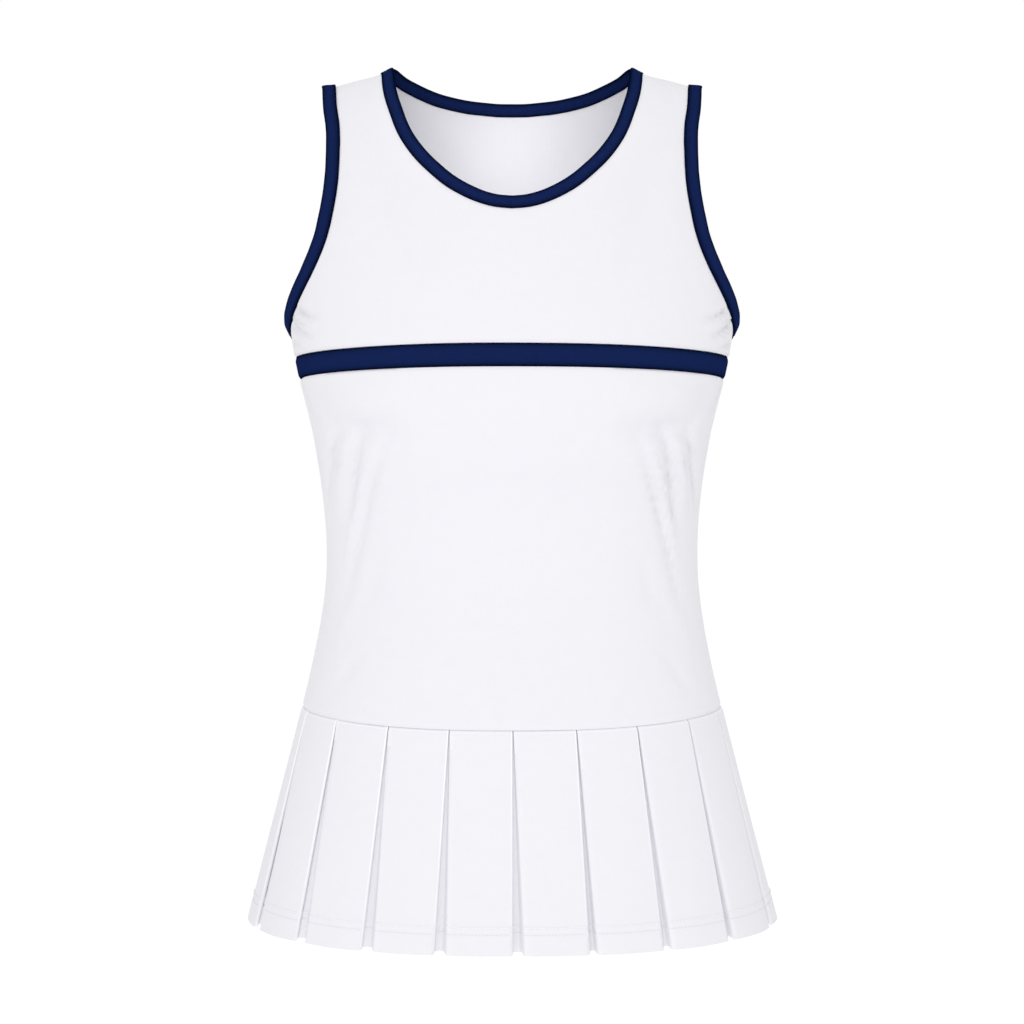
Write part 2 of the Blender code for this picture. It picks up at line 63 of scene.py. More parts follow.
Section = namedtuple("Section", "height half_width front_depth back_depth")
SECTIONS = [Section(*row) for row in (
    (-490, 159.0, 118.0, 113.0), (-470, 154.0, 113.0, 108.0), (-440, 146.8, 106.0, 101.5),
    (-410, 140.7, 99.0, 94.0), (-380, 137.0, 94.0, 87.0), (-350, 136.5, 93.0, 83.5),
    (-320, 138.4, 97.5, 85.5), (-290, 142.3, 106.5, 91.0), (-255, 149.6, 112.0, 97.0),
    (-225, 157.5, 112.0, 97.0), (-200, 161.8, 112.0, 97.0), (-180, 163.5, 112.0, 97.0),
    (-150, 164.0, 112.0, 97.0), (-22, 164.0, 112.0, 97.0),
)]

RidgePoint = namedtuple("RidgePoint", "across height")
RIDGE = [RidgePoint(*row) for row in (
    (0, 44.0), (30, 36.0), (60, 17.5), (88, 0.0), (97, -4.5),
    (115, -9.5), (130, -13.3), (141, -16.2), (164, -22.0),
)]

# Neck edge as seen from the front, from the centre to the shoulder ridge
EdgePoint = namedtuple("EdgePoint", "across height")
FRONT_NECK = [EdgePoint(*row) for row in (
    (0.0, -106.6), (12.0, -105.2), (24.0, -101.0), (37.5, -93.4),
    (51.5, -81.4), (63.0, -68.6), (72.0, -54.4), (79.0, -36.6),
    (84.4, -18.2), (88.0, 0.0),
)]
BACK_NECK = [EdgePoint(*row) for row in (
    (0.0, -13.6), (16.0, -13.3), (32.0, -12.1), (48.0, -9.9),
    (64.0, -6.2), (77.0, -2.2), (88.0, 0.0),
)]

# Armhole edge, from the shoulder ridge down to the side line; the share is
# the girth from the centre line to the side line
ArmholePoint = namedtuple("ArmholePoint", "height front_share back_share")
ARMHOLE = [ArmholePoint(*row) for row in (
    (-16.2, 0.665, 0.665), (-32.0, 0.646, 0.656), (-52.0, 0.624, 0.645),
    (-72.0, 0.617, 0.642), (-91.0, 0.618, 0.645), (-113.0, 0.633, 0.657),
    (-133.5, 0.660, 0.682), (-152.0, 0.712, 0.728), (-171.0, 0.802, 0.808),
    (-182.0, 0.882, 0.884), (-188.5, 0.952, 0.952), (-190.5, 1.0, 1.0),
)]

# Bindings, folded over the raw edge
BINDING_WIDTH = 10.0
PANEL_EDGE = 2.2
STAND_SHOULDER = 2.2
STAND_UNDERARM = 4.0
STAND_FULL_HEIGHT = -150.0

# Chest band, a straight strip: heights of each edge at centre front and side
BAND_TOP = (-211.0, -215.0)
BAND_BOTTOM = (-227.5, -231.0)
BAND_WIDTH = BAND_TOP[0] - BAND_BOTTOM[0]

# Drop-waist seam and pleated skirt part
SEAM_SIDE = -470.0
SEAM_DIP_FRONT = 8.0
SEAM_DIP_BACK = 5.0
HEM_SIDE = -624.0
HEM_DIP_FRONT = 6.0
HEM_DIP_BACK = 4.0
HEM_HALF_WIDTH = 193.0
HEM_FRONT_DEPTH = 130.0
HEM_BACK_DEPTH = 127.0
PLEATS_EACH_SIDE = 10
INTAKE_SEAM = 12.0
INTAKE_HEM = 10.0
RISE_START = 0.5
BOW_HEM = 0.8

# Steps of the fine nets
SCOOP_STEPS = 26
STRAP_STEPS = 36
UNDERARM_STEPS = 34
STRAP_COLUMNS = 9
CHEST_ROWS = 40
BAND_ROWS = 8
BODY_ROWS = 84
BACK_ROWS = 84
SIDE_COLUMNS = 56
NECK_TURN = 0.42
ARMHOLE_TURN = 0.52
CROWDING = 1.15
BAND_CROWDING = 0.5
BODY_CROWDING = 0.6

# Finer steps that only measure
ANGLE_SAMPLES = 2001
EDGE_SAMPLES = 121
RING_SAMPLES = 241
SLOPE_STEP = 0.01
RUN_STEP = 3.0
SMALL_STEPS = 5
LEVEL_ROUNDS = 8
SEAM_ROUNDS = 3
EDGE_ROUNDS = 2


def smooth(rows, column, at):
    """Smooth curve through a table: first column the place, other the value."""
    table = np.array(sorted(rows), float)
    places, values = table[:, 0], table[:, column]
    slopes = np.gradient(values, places)
    at = np.clip(at, places[0], places[-1])
    k = np.clip(np.searchsorted(places, at) - 1, 0, len(places) - 2)
    gap = places[k + 1] - places[k]
    t = (at - places[k]) / gap
    start = (1 + 2 * t) * (1 - t) ** 2 * values[k]
    leaving = t * (1 - t) ** 2 * gap * slopes[k]
    end = t * t * (3 - 2 * t) * values[k + 1]
    arriving = t * t * (t - 1) * gap * slopes[k + 1]
    return start + leaving + end + arriving


def model_section():
    """Angles of a quarter of the section and the share of its length at each."""
    angles = np.linspace(0, np.pi / 2, ANGLE_SAMPLES)
    x = MODEL_WIDTH * np.sin(angles) ** (2 / SECTION_POWER)
    y = MODEL_DEPTH * np.cos(angles) ** (2 / SECTION_POWER)
    lengths = np.concatenate([[0], np.cumsum(np.hypot(np.diff(x), np.diff(y)))])
    return angles, lengths / lengths[-1]


ANGLES, SHARES = model_section()


def surface(girth, rise):
    """Middle of the cloth at a girth and rise; a rise over 1 is past the ridge."""
    girth, rise = np.broadcast_arrays(np.asarray(girth, float), np.asarray(rise, float))
    girth = np.where(girth > 2, girth - 4, np.where(girth < -2, girth + 4, girth))
    sign = np.where(girth < 0, -1.0, 1.0)
    past = rise > 1
    girth = np.where(past, 2 - np.abs(girth), np.abs(girth))
    rise = np.where(past, 2 - rise, rise)
    front = girth < 1
    angle = np.interp(np.where(front, girth, 2 - girth), SHARES, ANGLES)
    across = np.sin(angle) ** (2 / SECTION_POWER)
    deep = np.abs(np.cos(angle)) ** (2 / SECTION_POWER)
    power = np.where(front, FRONT_POWER, BACK_POWER)
    turn = np.clip(rise, 0, 1) * np.pi / 2
    up = np.sin(turn)
    closing = np.clip(1 - up**power, 0, 1) ** (1 / power)
    upper_level = BUST_HEIGHT + up * (SIDE_OF_SHOULDER - BUST_HEIGHT)
    lower_level = BUST_HEIGHT + rise * LOWER_STEP
    level = np.where(rise > 0, upper_level, lower_level)
    x = smooth(SECTIONS, 1, level) * across
    depth = np.where(front, -smooth(SECTIONS, 2, level), smooth(SECTIONS, 3, level))
    ridge = smooth(RIDGE, 1, x)
    z = np.where(rise > 0, BUST_HEIGHT + up * (ridge - BUST_HEIGHT), lower_level)
    return np.stack([sign * x, depth * deep * closing, z], axis=-1)


def slopes_at(girth, rise):
    """Differences of the surface along girth and along rise."""
    step = SLOPE_STEP
    along_girth = surface(girth + step, rise) - surface(girth - step, rise)
    along_rise = surface(girth, rise + step) - surface(girth, rise - step)
    return along_girth / (2 * step), along_rise / (2 * step)


def unit(vectors):
    return vectors / np.linalg.norm(vectors, axis=-1, keepdims=True)


def walked(points):
    """Length along a line from its first point to each of its points."""
    steps = np.linalg.norm(np.diff(points, axis=0), axis=1)
    return np.concatenate([[0], np.cumsum(steps)])


def outward(girth, rise):
    """Direction away from the body, square to the cloth."""
    along_girth, along_rise = slopes_at(girth, rise)
    return unit(np.cross(along_girth, along_rise))


def rise_at(girth, height):
    """The rise at which the surface has this height, at this girth."""
    girth, height = np.broadcast_arrays(np.asarray(girth, float), np.asarray(height, float))
    share = np.where(np.abs(girth) < 1, np.abs(girth), 2 - np.abs(girth))
    across = np.sin(np.interp(share, SHARES, ANGLES)) ** (2 / SECTION_POWER)
    up = np.clip((height - BUST_HEIGHT) / -BUST_HEIGHT, 0, 1)
    for _ in range(LEVEL_ROUNDS):
        level = BUST_HEIGHT + up * (SIDE_OF_SHOULDER - BUST_HEIGHT)
        ridge = smooth(RIDGE, 1, smooth(SECTIONS, 1, level) * across)
        up = np.clip((height - BUST_HEIGHT) / (ridge - BUST_HEIGHT), 0, 1)
    upper = np.arcsin(up) / (np.pi / 2)
    return np.where(height > BUST_HEIGHT, upper, (height - BUST_HEIGHT) / LOWER_STEP)


def girth_across(across, height, back):
    """The girth at which the surface is this far across, at this height."""
    ridge = float(smooth(RIDGE, 1, across))
    up = (height - BUST_HEIGHT) / (ridge - BUST_HEIGHT)
    level = BUST_HEIGHT + up * (SIDE_OF_SHOULDER - BUST_HEIGHT)
    angle = np.arcsin((across / smooth(SECTIONS, 1, level)) ** (SECTION_POWER / 2))
    girth = float(np.interp(angle, ANGLES, SHARES))
    return 2 - girth if back else girth


def through(girths, rises, shares):
    """Places at the given shares of the length of a smooth curve."""
    girths, rises = np.array(girths, float), np.array(rises, float)
    even = np.linspace(0, 1, EDGE_SAMPLES)
    for wanted in [even] * (EDGE_ROUNDS - 1) + [shares]:
        length = walked(surface(girths, rises))
        length = length / length[-1]
        table = np.stack([length, girths, rises], axis=1)
        girths, rises = smooth(table.tolist(), 1, wanted), smooth(table.tolist(), 2, wanted)
    return girths, rises


def neck_edge(back, shares):
    """Neck edge from the centre to the shoulder ridge."""
    rows = BACK_NECK if back else FRONT_NECK
    girths = [girth_across(row.across, row.height, back) for row in rows]
    rises = [float(rise_at(g, row.height)) for g, row in zip(girths, rows)]
    rises[-1] = 1.0
    return through(girths, rises, shares)


def armhole_edge(back, shares):
    """Armhole edge from the shoulder ridge to the side line."""
    girths = [2 - row.back_share if back else row.front_share for row in ARMHOLE]
    rises = [float(rise_at(g, row.height)) for g, row in zip(girths, ARMHOLE)]
    rises[0] = 1.0
    return through(girths, rises, shares)


def over_ridge(girth, rise):
    """The same place named from the front, with a rise over 1 at the back."""
    back = np.abs(girth) > 1
    from_front = np.sign(girth) * (2 - np.abs(girth))
    return np.where(back, from_front, girth), np.where(back, 2 - rise, rise)


def walk(girth, rise, direction, distance):
    """Moves along the surface by a distance, straight ahead in a direction."""
    step = distance / SMALL_STEPS
    for _ in range(SMALL_STEPS):
        along_girth, along_rise = slopes_at(girth, rise)
        normal = unit(np.cross(along_girth, along_rise))
        flat = direction - normal * np.sum(direction * normal, axis=-1, keepdims=True)
        ahead = unit(flat) * step
        gg = np.sum(along_girth * along_girth, axis=-1)
        gr = np.sum(along_girth * along_rise, axis=-1)
        rr = np.sum(along_rise * along_rise, axis=-1)
        ag = np.sum(along_girth * ahead, axis=-1)
        ar = np.sum(along_rise * ahead, axis=-1)
        area = gg * rr - gr * gr
        girth = girth + (rr * ag - gr * ar) / area
        rise = rise + (gg * ar - gr * ag) / area
    return girth, rise


def strip_beside(girth, rise):
    """Function from a distance to the places that far inside a closed edge."""
    points = surface(girth, rise)
    ahead = np.roll(points, -1, axis=0) - np.roll(points, 1, axis=0)
    sideways = unit(np.cross(unit(ahead), outward(girth, rise)))

    def at(distance):
        if distance == 0:
            return girth, rise
        return walk(girth, rise, sideways, distance)

    return at


def stand(points, distance):
    """How far the armhole binding stands off the body form, this far from its fold."""
    down = np.clip(points[..., 2] / STAND_FULL_HEIGHT, 0, 1)
    full = STAND_SHOULDER + (STAND_UNDERARM - STAND_SHOULDER) * down
    return full * (1 - distance / BINDING_WIDTH)


def net_faces(rows, columns, first=0, closed=False):
    """Four-sided faces over a net of points kept row by row."""
    faces = []
    for r in range(rows - 1):
        for c in range(columns if closed else columns - 1):
            right = (c + 1) % columns
            a = first + r * columns
            b = a + columns
            faces.append((a + c, a + right, b + right, b + c))
    return faces


def band_edge(girth, edge, gap):
    """Places a small gap above or below an edge of the chest band."""
    centre, side = np.array(edge) + gap
    bow = np.abs(np.cos(np.interp(girth, SHARES, ANGLES))) ** 2
    return named_from_front(girth, side + (centre - side) * bow, False)


def named_from_front(girth, height, back):
    """Places at these heights; those at the back get a rise over 1."""
    rise = rise_at(2 - girth if back else girth, height)
    return girth, 2 - rise if back else rise


def neck_shares():
    """Shares of the neck edge, closer together at the shoulder."""
    low = np.linspace(0, NECK_TURN, SCOOP_STEPS + 1)
    rest = 1 - (1 - np.linspace(0, 1, STRAP_STEPS + 1)) ** CROWDING
    return np.concatenate([low, NECK_TURN + (1 - NECK_TURN) * rest[1:]])


def armhole_shares():
    """Shares of the armhole edge, closer together at the shoulder."""
    high = ARMHOLE_TURN * np.linspace(0, 1, STRAP_STEPS + 1) ** CROWDING
    return np.concatenate([high, np.linspace(ARMHOLE_TURN, 1, UNDERARM_STEPS + 1)[1:]])


def neck_ring():
    """Neck edge from centre front over both shoulders, as a closed curve."""
    shares = neck_shares()
    front = neck_edge(False, shares)
    back = over_ridge(*neck_edge(True, shares))
    half_girth = np.concatenate([front[0], back[0][-2::-1]])
    half_rise = np.concatenate([front[1], back[1][-2::-1]])
    girth = np.concatenate([half_girth, -half_girth[-2:0:-1]])
    rise = np.concatenate([half_rise, half_rise[-2:0:-1]])
    return girth, rise


def armhole_ring():
    """Left armhole edge from the shoulder down the front and up the back."""
    shares = armhole_shares()
    front = armhole_edge(False, shares)
    back = over_ridge(*armhole_edge(True, shares))
    girth = np.concatenate([front[0], back[0][-2:0:-1]])
    rise = np.concatenate([front[1], back[1][-2:0:-1]])
    return girth, rise


def neck_line(back, distance):
    """The line this far inside the neck edge, from the centre to the ridge."""
    girth, rise = strip_beside(*neck_ring())(distance)
    ridge = SCOOP_STEPS + STRAP_STEPS
    girth[[0, 2 * ridge]] = 0.0
    rise[ridge] = 1.0
    picked = np.arange(2 * ridge, ridge - 1, -1) if back else np.arange(ridge + 1)
    return girth[picked], rise[picked]


def armhole_line(back, distance):
    """The line this far inside the armhole edge, from the side to the ridge."""
    girth, rise = strip_beside(*armhole_ring())(distance)
    rise[0] = 1.0
    side = STRAP_STEPS + UNDERARM_STEPS
    girth[side] = 1.0
    picked = np.arange(side, -1, -1)
    if back:
        rise[side] = 2 - rise[side]
        picked = np.append(np.arange(side, 2 * side), 0)
    return girth[picked], rise[picked]


def between(first, last, steps, crowd=0.0):
    """Net of places from one line to another, rows closer at both ends."""
    share = np.linspace(0, 1, steps + 1)
    share = (share - crowd * np.sin(2 * np.pi * share) / (2 * np.pi))[:, None]
    return [first[k][None, :] * (1 - share) + last[k][None, :] * share for k in range(2)]


def both_sides(net):
    """A net from the centre to the side made into one from side to side."""
    girth, rise = net
    whole_girth = np.concatenate([-girth[:, :0:-1], girth], axis=1)
    whole_rise = np.concatenate([rise[:, :0:-1], rise], axis=1)
    return whole_girth, whole_rise


def strap_net(back):
    """Net of the strap, from the neck binding to the armhole binding."""
    neck = [line[SCOOP_STEPS:] for line in neck_line(back, BINDING_WIDTH)]
    arm = [line[UNDERARM_STEPS:] for line in armhole_line(back, BINDING_WIDTH)]
    return between(neck, arm, STRAP_COLUMNS)


def strap_foot(back):
    """Line from centre along the neck, across the strap and down the armhole."""
    neck = neck_line(back, BINDING_WIDTH)
    arm = armhole_line(back, BINDING_WIDTH)
    strap = strap_net(back)
    pieces = [
        (neck[k][:SCOOP_STEPS], strap[k][:, 0], arm[k][UNDERARM_STEPS - 1 :: -1])
        for k in range(2)
    ]
    return [np.concatenate(three) for three in pieces]


def column_girths(back):
    """Girths of the columns low on the body, spread between those above."""
    foot = strap_foot(back)[0]
    return (foot + np.linspace(0, 1, len(foot))) / 2


def upper_nets(back, lower):
    """Nets over the chest, the straps and the strips under the bindings."""
    chest = between(strap_foot(back), lower, CHEST_ROWS)
    neck = between(neck_line(back, PANEL_EDGE), neck_line(back, BINDING_WIDTH), 1)
    strap = strap_net(back)
    girth, rise = between(armhole_line(back, BINDING_WIDTH), armhole_line(back, PANEL_EDGE), 1)
    distance = np.array([[BINDING_WIDTH], [PANEL_EDGE]])
    right = [tuple(strap), (girth, rise, distance)]
    left = [(-net[0],) + net[1:] for net in right]
    return [both_sides(chest), both_sides(neck)] + right + left


def seam_height(points, gap):
    """Height of the drop-waist line at points of the body, lowered by a gap."""
    front = points[..., 1] < 0
    section = SECTIONS[1]
    depth = np.where(front, section.front_depth, section.back_depth)
    dip = np.where(front, SEAM_DIP_FRONT, SEAM_DIP_BACK)
    return SEAM_SIDE - dip * (points[..., 1] / depth) ** 2 - gap


def seam_places(girth, back):
    """Places just above the drop-waist seam."""
    places = named_from_front(girth, SEAM_SIDE, back)
    for _ in range(SEAM_ROUNDS):
        places = named_from_front(girth, seam_height(surface(*places), -HALF_GAP), back)
    return places


def skirt_ring(share):
    """Ring round the skirt part at a share of the way down: points and lengths."""
    half = np.linspace(-1, 1, RING_SAMPLES)
    girth = np.concatenate([half, np.sign(-half) * (2 - np.abs(half))])
    girth[RING_SAMPLES + RING_SAMPLES // 2] = 2.0
    back = np.arange(len(girth)) >= RING_SAMPLES
    rise = rise_at(girth, SEAM_SIDE)
    for _ in range(SEAM_ROUNDS):
        rise = rise_at(girth, seam_height(surface(girth, rise), HALF_GAP))
    top = surface(girth, rise)
    angle = np.interp(np.where(back, 2 - np.abs(girth), np.abs(girth)), SHARES, ANGLES)
    deep = np.cos(angle) ** (2 / SECTION_POWER)
    depth = np.where(back, HEM_BACK_DEPTH, -HEM_FRONT_DEPTH)
    dip = np.where(back, HEM_DIP_BACK, HEM_DIP_FRONT)
    x = np.sign(girth) * HEM_HALF_WIDTH * np.sin(angle) ** (2 / SECTION_POWER)
    hem = np.stack([x, depth * deep, HEM_SIDE - dip * deep**2], axis=-1)
    ring = top * (1 - share) + hem * share
    return ring, walked(ring[:, :2])


def mitred(line, distance):
    """A line of (along, out) points moved sideways, corners kept even."""
    line = np.array(line)
    runs = unit(np.diff(line, axis=0))
    sides = np.stack([-runs[:, 1], runs[:, 0]], axis=1)
    first = np.concatenate([sides[:1], sides])
    second = np.concatenate([sides, sides[-1:]])
    middle = unit(first + second)
    reach = distance / np.sum(middle * first, axis=1)
    return line + middle * reach[:, None]


def on_line(line, lengths, at):
    """Points of a line at these lengths from its start."""
    return np.stack([np.interp(at, lengths, line[:, k]) for k in range(3)], axis=-1)


def ring_place(ring, lengths, along, out):
    """Points this far along a ring and this far outside it."""
    point, ahead, behind = (
        on_line(ring, lengths, np.mod(along + step, lengths[-1]))
        for step in (0, RUN_STEP, -RUN_STEP)
    )
    run = unit(ahead[:, :2] - behind[:, :2])
    point[:, 0] += run[:, 1] * out
    point[:, 1] -= run[:, 0] * out
    return point


# Soft creases. Each runs between two places named by girth and height. Bow is
# how far its middle is pushed sideways, and depth is minus for a trough. One
# that is pinned is deepest at its start, and the others fade at both ends.
Crease = namedtuple("Crease", "girth_1 height_1 girth_2 height_2 bow depth width pinned")
FRONT_CREASES = [Crease(*row) for row in (
    (0.780, -184, 0.630, -191, 1.5, -3.4, 2.4, True),
    (0.840, -192, 0.685, -204, 1.5, -4.2, 2.6, True),
    (0.800, -188, 0.670, -197, 1.0, 2.4, 2.0, True),
    (0.900, -206, 0.740, -213, -1.0, -2.6, 2.2, True),
    (0.880, -233, 0.800, -262, 2.0, -2.8, 2.6, True),
    (0.960, -250, 0.850, -300, 3.0, -2.6, 4.0, False),
    (0.360, -271, 0.720, -266, -2.0, -4.6, 8.0, False),
    (0.300, -247, 0.700, -243, -2.0, 2.9, 12.0, False),
    (0.645, -266, 0.836, -328, 2.0, -4.3, 4.2, False),
    (0.585, -266, 0.741, -332, 2.0, 3.0, 2.4, False),
    (0.528, -264, 0.668, -338, 2.5, -4.8, 4.0, False),
    (0.473, -270, 0.676, -368, 4.0, 3.2, 3.4, False),
    (0.426, -270, 0.680, -398, 5.0, -3.7, 4.0, False),
    (0.571, -318, 0.661, -360, 1.5, -0.9, 1.1, False),
    (0.488, -358, 0.545, -402, 2.0, -1.4, 6.0, False),
    (0.590, -385, 0.700, -430, 3.0, 1.1, 5.0, False),
    (0.531, -424, 0.650, -458, 2.0, -1.4, 5.0, False),
    (0.791, -415, 0.850, -467, 1.0, -0.9, 1.0, True),
    (0.420, -70, 0.340, -160, 4.0, -1.7, 8.0, False),
    (0.560, -60, 0.500, -140, -3.0, 1.1, 7.0, False),
)]
BACK_CREASES = [Crease(*row) for row in (
    (0.800, -186, 0.620, -196, 1.5, -3.3, 2.6, True),
    (0.850, -194, 0.660, -212, 1.5, -3.3, 3.0, True),
    (0.940, -232, 0.680, -262, 4.0, -2.4, 4.5, False),
    (0.900, -300, 0.350, -322, 6.0, -2.7, 5.5, False),
    (0.920, -322, 0.250, -341, -5.0, 1.9, 5.0, False),
    (0.930, -340, 0.300, -357, -4.0, -3.2, 6.0, False),
    (0.900, -368, 0.450, -377, 4.0, -2.4, 5.5, False),
    (0.600, -285, 0.150, -300, 3.0, -1.7, 7.0, False),
    (0.500, -70, 0.400, -160, 4.0, -1.8, 8.0, False),
    (0.240, -60, 0.300, -150, -5.0, -1.4, 9.0, False),
    (0.900, -405, 0.560, -452, 5.0, -1.7, 6.0, False),
)]
CREASE_SAMPLES = 17
CREASE_FADE = 0.8
CREASE_REACH = 140
MIRROR_SHIFT = 0.012
MIRROR_DROP = 60
MIRROR_DEPTH = 0.85
ROUND_BODY = 205.0
BROAD_SWELL = 0.35
SMALL_SWELL = 0.25

# Seams, bindings and hem. A stitch has its pitch, and its own size
Stitch = namedtuple("Stitch", "pitch long wide high")
BINDING_STITCH = Stitch(3.1, 2.1, 0.55, 0.5)
LOWER_STITCH = Stitch(2.4, 1.4, 0.5, 0.42)
UPPER_STITCH = Stitch(2.7, 2.8, 0.7, 0.45)
STITCH_WANDER = 0.06
STITCH_RUN = 0.4
STITCH_LEAST = 0.05
STITCH_SUNK = 0.05
STITCH_LIFT = 0.02
# Sections along a stitch: the place along it, its width and its height there
STITCH_SECTIONS = [
    (-0.5, 0.0, -0.4), (-0.3, 0.8, 0.5), (0.0, 1.0, 1.0), (0.3, 0.8, 0.5), (0.5, 0.0, -0.4),
]
SEAM_ROLL = 1.1
SEAM_ROLL_WIDTH = 1.4
SIDE_SEAM_NARROW = 1.6
LOWER_ROW = 14.3
UPPER_ROW = 19.0
ROW_WIDTH = 0.8
LOWER_ROW_GROOVE = 0.484
UPPER_ROW_RIDGE = 0.22
HEM_FOLD = 0.35
BINDING_ROOM = 0.2
BINDING_STITCH_PLACE = BINDING_WIDTH - 3.0
BINDING_GROOVE = 0.22
BINDING_RIPPLE = 0.10
SKIRT_LINES = 62
SKIRT_CROWDING = 0.5
EASED_POINTS = 3.0
EASED_ROUNDS = 7
PANEL_POINTS = 12
ARC_POINTS = 6
FOLD_TOP = 0.5
FOLD_HEM = 1.1
RECESS_DIP = 2.0
LAYER = 0.95
LEAN_HEM = 0.15
FLAT_SHARE = 0.6
DIP_SHARE = 0.8
RISE_STEPS = 11
RECESS_LIFT = 2.0
RISE_SHOWN_SEAM = 1.4
RISE_SHOWN_HEM = 8.4
PLEATS_OPEN = 0.35
# Painted highlight on the pleats: a lighter colour along the turned folds (at the seam, middle and
# hem, and over the first three fold points), at the foot of each rise and a little below the waist
# seam, where light catches the cloth.
FOLD_PAINTED_HIGHLIGHT = (0.7, 0.45, 0.1)
RISE_PAINTED_HIGHLIGHT = 0.15
SEAM_PAINTED_HIGHLIGHT = 0.25
SEAM_PAINTED_HIGHLIGHT_DROP = 1.4
SEAM_PAINTED_HIGHLIGHT_SPREAD = 0.4
FOLD_EDGE_PAINTED_HIGHLIGHT = (0.8, 1.0, 0.4)
LIFT_POWER = 8
LIFT_DEPTH = 3
FOLD_REACH = 2
WANDER_HEM = 0.7
PANEL_RIPPLE = 0.5
CLOSE_TO_FOLD = (0.35, 0.9)
WOBBLE = 0.6
MOST_WOBBLE = 1.2

# Parts of a skirt line: its hidden ends, the panels, the turned folds and the recesses
END, PANEL, FOLD, RECESS = range(4)

# Colours, in linear light
WHITE = (0.735, 0.727, 0.764, 1)
WHITE_SHADE = (0.711, 0.703, 0.741, 1)
# Painted highlight colour for the pleat folds, the rise feet and the line below the waist seam.
WHITE_PAINTED_HIGHLIGHT = (0.93, 0.925, 0.95, 1)
NAVY = (0.0088, 0.0200, 0.0960, 1)
# Darker navy: painted shade toward the edges of the navy strips, and the dark end of their random
# cloudiness.
NAVY_EDGE_SHADE_AND_CLOUD = (0.0016, 0.0035, 0.017, 1)
WHITE_THREAD = (0.74, 0.735, 0.77, 1)
# The same white thread painted lighter as a highlight, for the upper hem row that catches the light.
THREAD_PAINTED_HIGHLIGHT = (0.90, 0.895, 0.92, 1)
NAVY_THREAD = (0.006, 0.013, 0.070, 1)
PALE = (0.9, 0.9, 0.9, 1.0)
PURE_WHITE = (1.0, 1.0, 1.0, 1.0)

# Knit, in millimetres
WALE = 0.95
COURSE = 0.8
BOUND_WALE = 0.9
KNIT_RELIEF = 0.25
THREAD_RELIEF = 0.2


def crease_lines(rows, back):
    """Points along every crease and its mirror image, with depth and width."""
    lines = []
    for k, row in enumerate(rows):
        for side in (1, -1):
            shift = 0 if side > 0 else MIRROR_SHIFT * np.sin(2.3 * k + 1)
            share = np.linspace(0, 1, CREASE_SAMPLES)
            run = np.array([(row.girth_2 - row.girth_1) * ROUND_BODY, row.height_2 - row.height_1])
            across = np.array([-run[1], run[0]]) / np.hypot(*run)
            bow = row.bow * np.sin(np.pi * share)
            girth = row.girth_1 + (run[0] * share + across[0] * bow) / ROUND_BODY + shift * share
            height = row.height_1 + run[1] * share + across[1] * bow + MIRROR_DROP * shift
            places = named_from_front(np.clip(girth, 0.01, 0.99), height, back)
            line = surface(*places) * [side, 1, 1]
            fade = np.cos(np.pi / 2 * share) if row.pinned else np.sin(np.pi * share)
            full = row.depth * (1 if side > 0 else MIRROR_DEPTH)
            depth = full * np.abs(fade) ** CREASE_FADE
            lines.append((line, depth, row.width))
    return lines


CREASES = crease_lines(FRONT_CREASES, False) + crease_lines(BACK_CREASES, True)


def creased(points):
    """How far the cloth stands out at these points because of its creases."""
    flat = points.reshape(-1, 3)
    out = np.zeros(len(flat))
    for line, depth, width in CREASES:
        near = np.linalg.norm(flat - line.mean(axis=0), axis=1) < CREASE_REACH
        some = flat[near]
        if not len(some):
            continue
        gaps = np.linalg.norm(some[:, None, :] - line[None, :, :], axis=2)
        best = gaps.argmin(axis=1)
        gap = gaps.min(axis=1)
        out[near] += depth[best] * np.exp(-((gap / width) ** 2))
    x, y, z = flat.T
    out += BROAD_SWELL * np.sin(x / 31 + z / 47 + 0.6) * np.sin(z / 39 - x / 83)
    out += SMALL_SWELL * np.sin(x / 17 - z / 71 + y / 40) * np.sin(z / 53 + 1.1)
    return out.reshape(points.shape[:-1])


def seam_roll(gap):
    """How far cloth this far from a seam turns in toward it."""
    return -SEAM_ROLL * np.exp(-((gap / SEAM_ROLL_WIDTH) ** 2))


def body_points(net, front, top_seam=False, bottom_seam=False):
    """Points and outward directions of a net of the body, creased."""
    girth, rise = net[:2]
    points, normals = surface(girth, rise), outward(girth, rise)
    if len(net) > 2:
        points = points + normals * stand(points, net[2])[..., None]
    limit = -HALF_GAP if front else HALF_GAP
    keep = np.minimum if front else np.maximum
    out = creased(points) + seam_roll(np.abs(points[..., 1]) * SIDE_SEAM_NARROW)
    if top_seam:
        out = out + seam_roll(np.linalg.norm(points - points[:1], axis=-1))
    if bottom_seam:
        out = out + seam_roll(np.linalg.norm(points - points[-1:], axis=-1))
    moved = points + normals * out[..., None]
    moved[..., 1] = keep(moved[..., 1], limit)
    return moved, normals


def joined(parts):
    """Nets of (points, normals, uv) made into one list, shared points merged."""
    points = np.concatenate([p.reshape(-1, 3) for p, _, _ in parts])
    normals = np.concatenate([n.reshape(-1, 3) for _, n, _ in parts])
    uv = np.concatenate([u.reshape(-1, 2) for _, _, u in parts])
    faces, first = [], 0
    for p, _, _ in parts:
        faces += net_faces(p.shape[0], p.shape[1], first)
        first += p.shape[0] * p.shape[1]
    rounded = np.round(points, 2)
    _, keep, index = np.unique(rounded, axis=0, return_index=True, return_inverse=True)
    faces = index.reshape(-1)[np.array(faces)]
    return points[keep], normals[keep], uv[keep], faces


def even_facing(points, normals, faces):
    """Faces turned so that they all look the way of the normals."""
    a, b, c, d = (points[faces[:, k]] for k in range(4))
    facing = np.sum(np.cross(c - a, d - b) * normals[faces[:, 0]], axis=1)
    faces = faces.copy()
    faces[facing < 0] = faces[facing < 0][:, ::-1]
    return faces


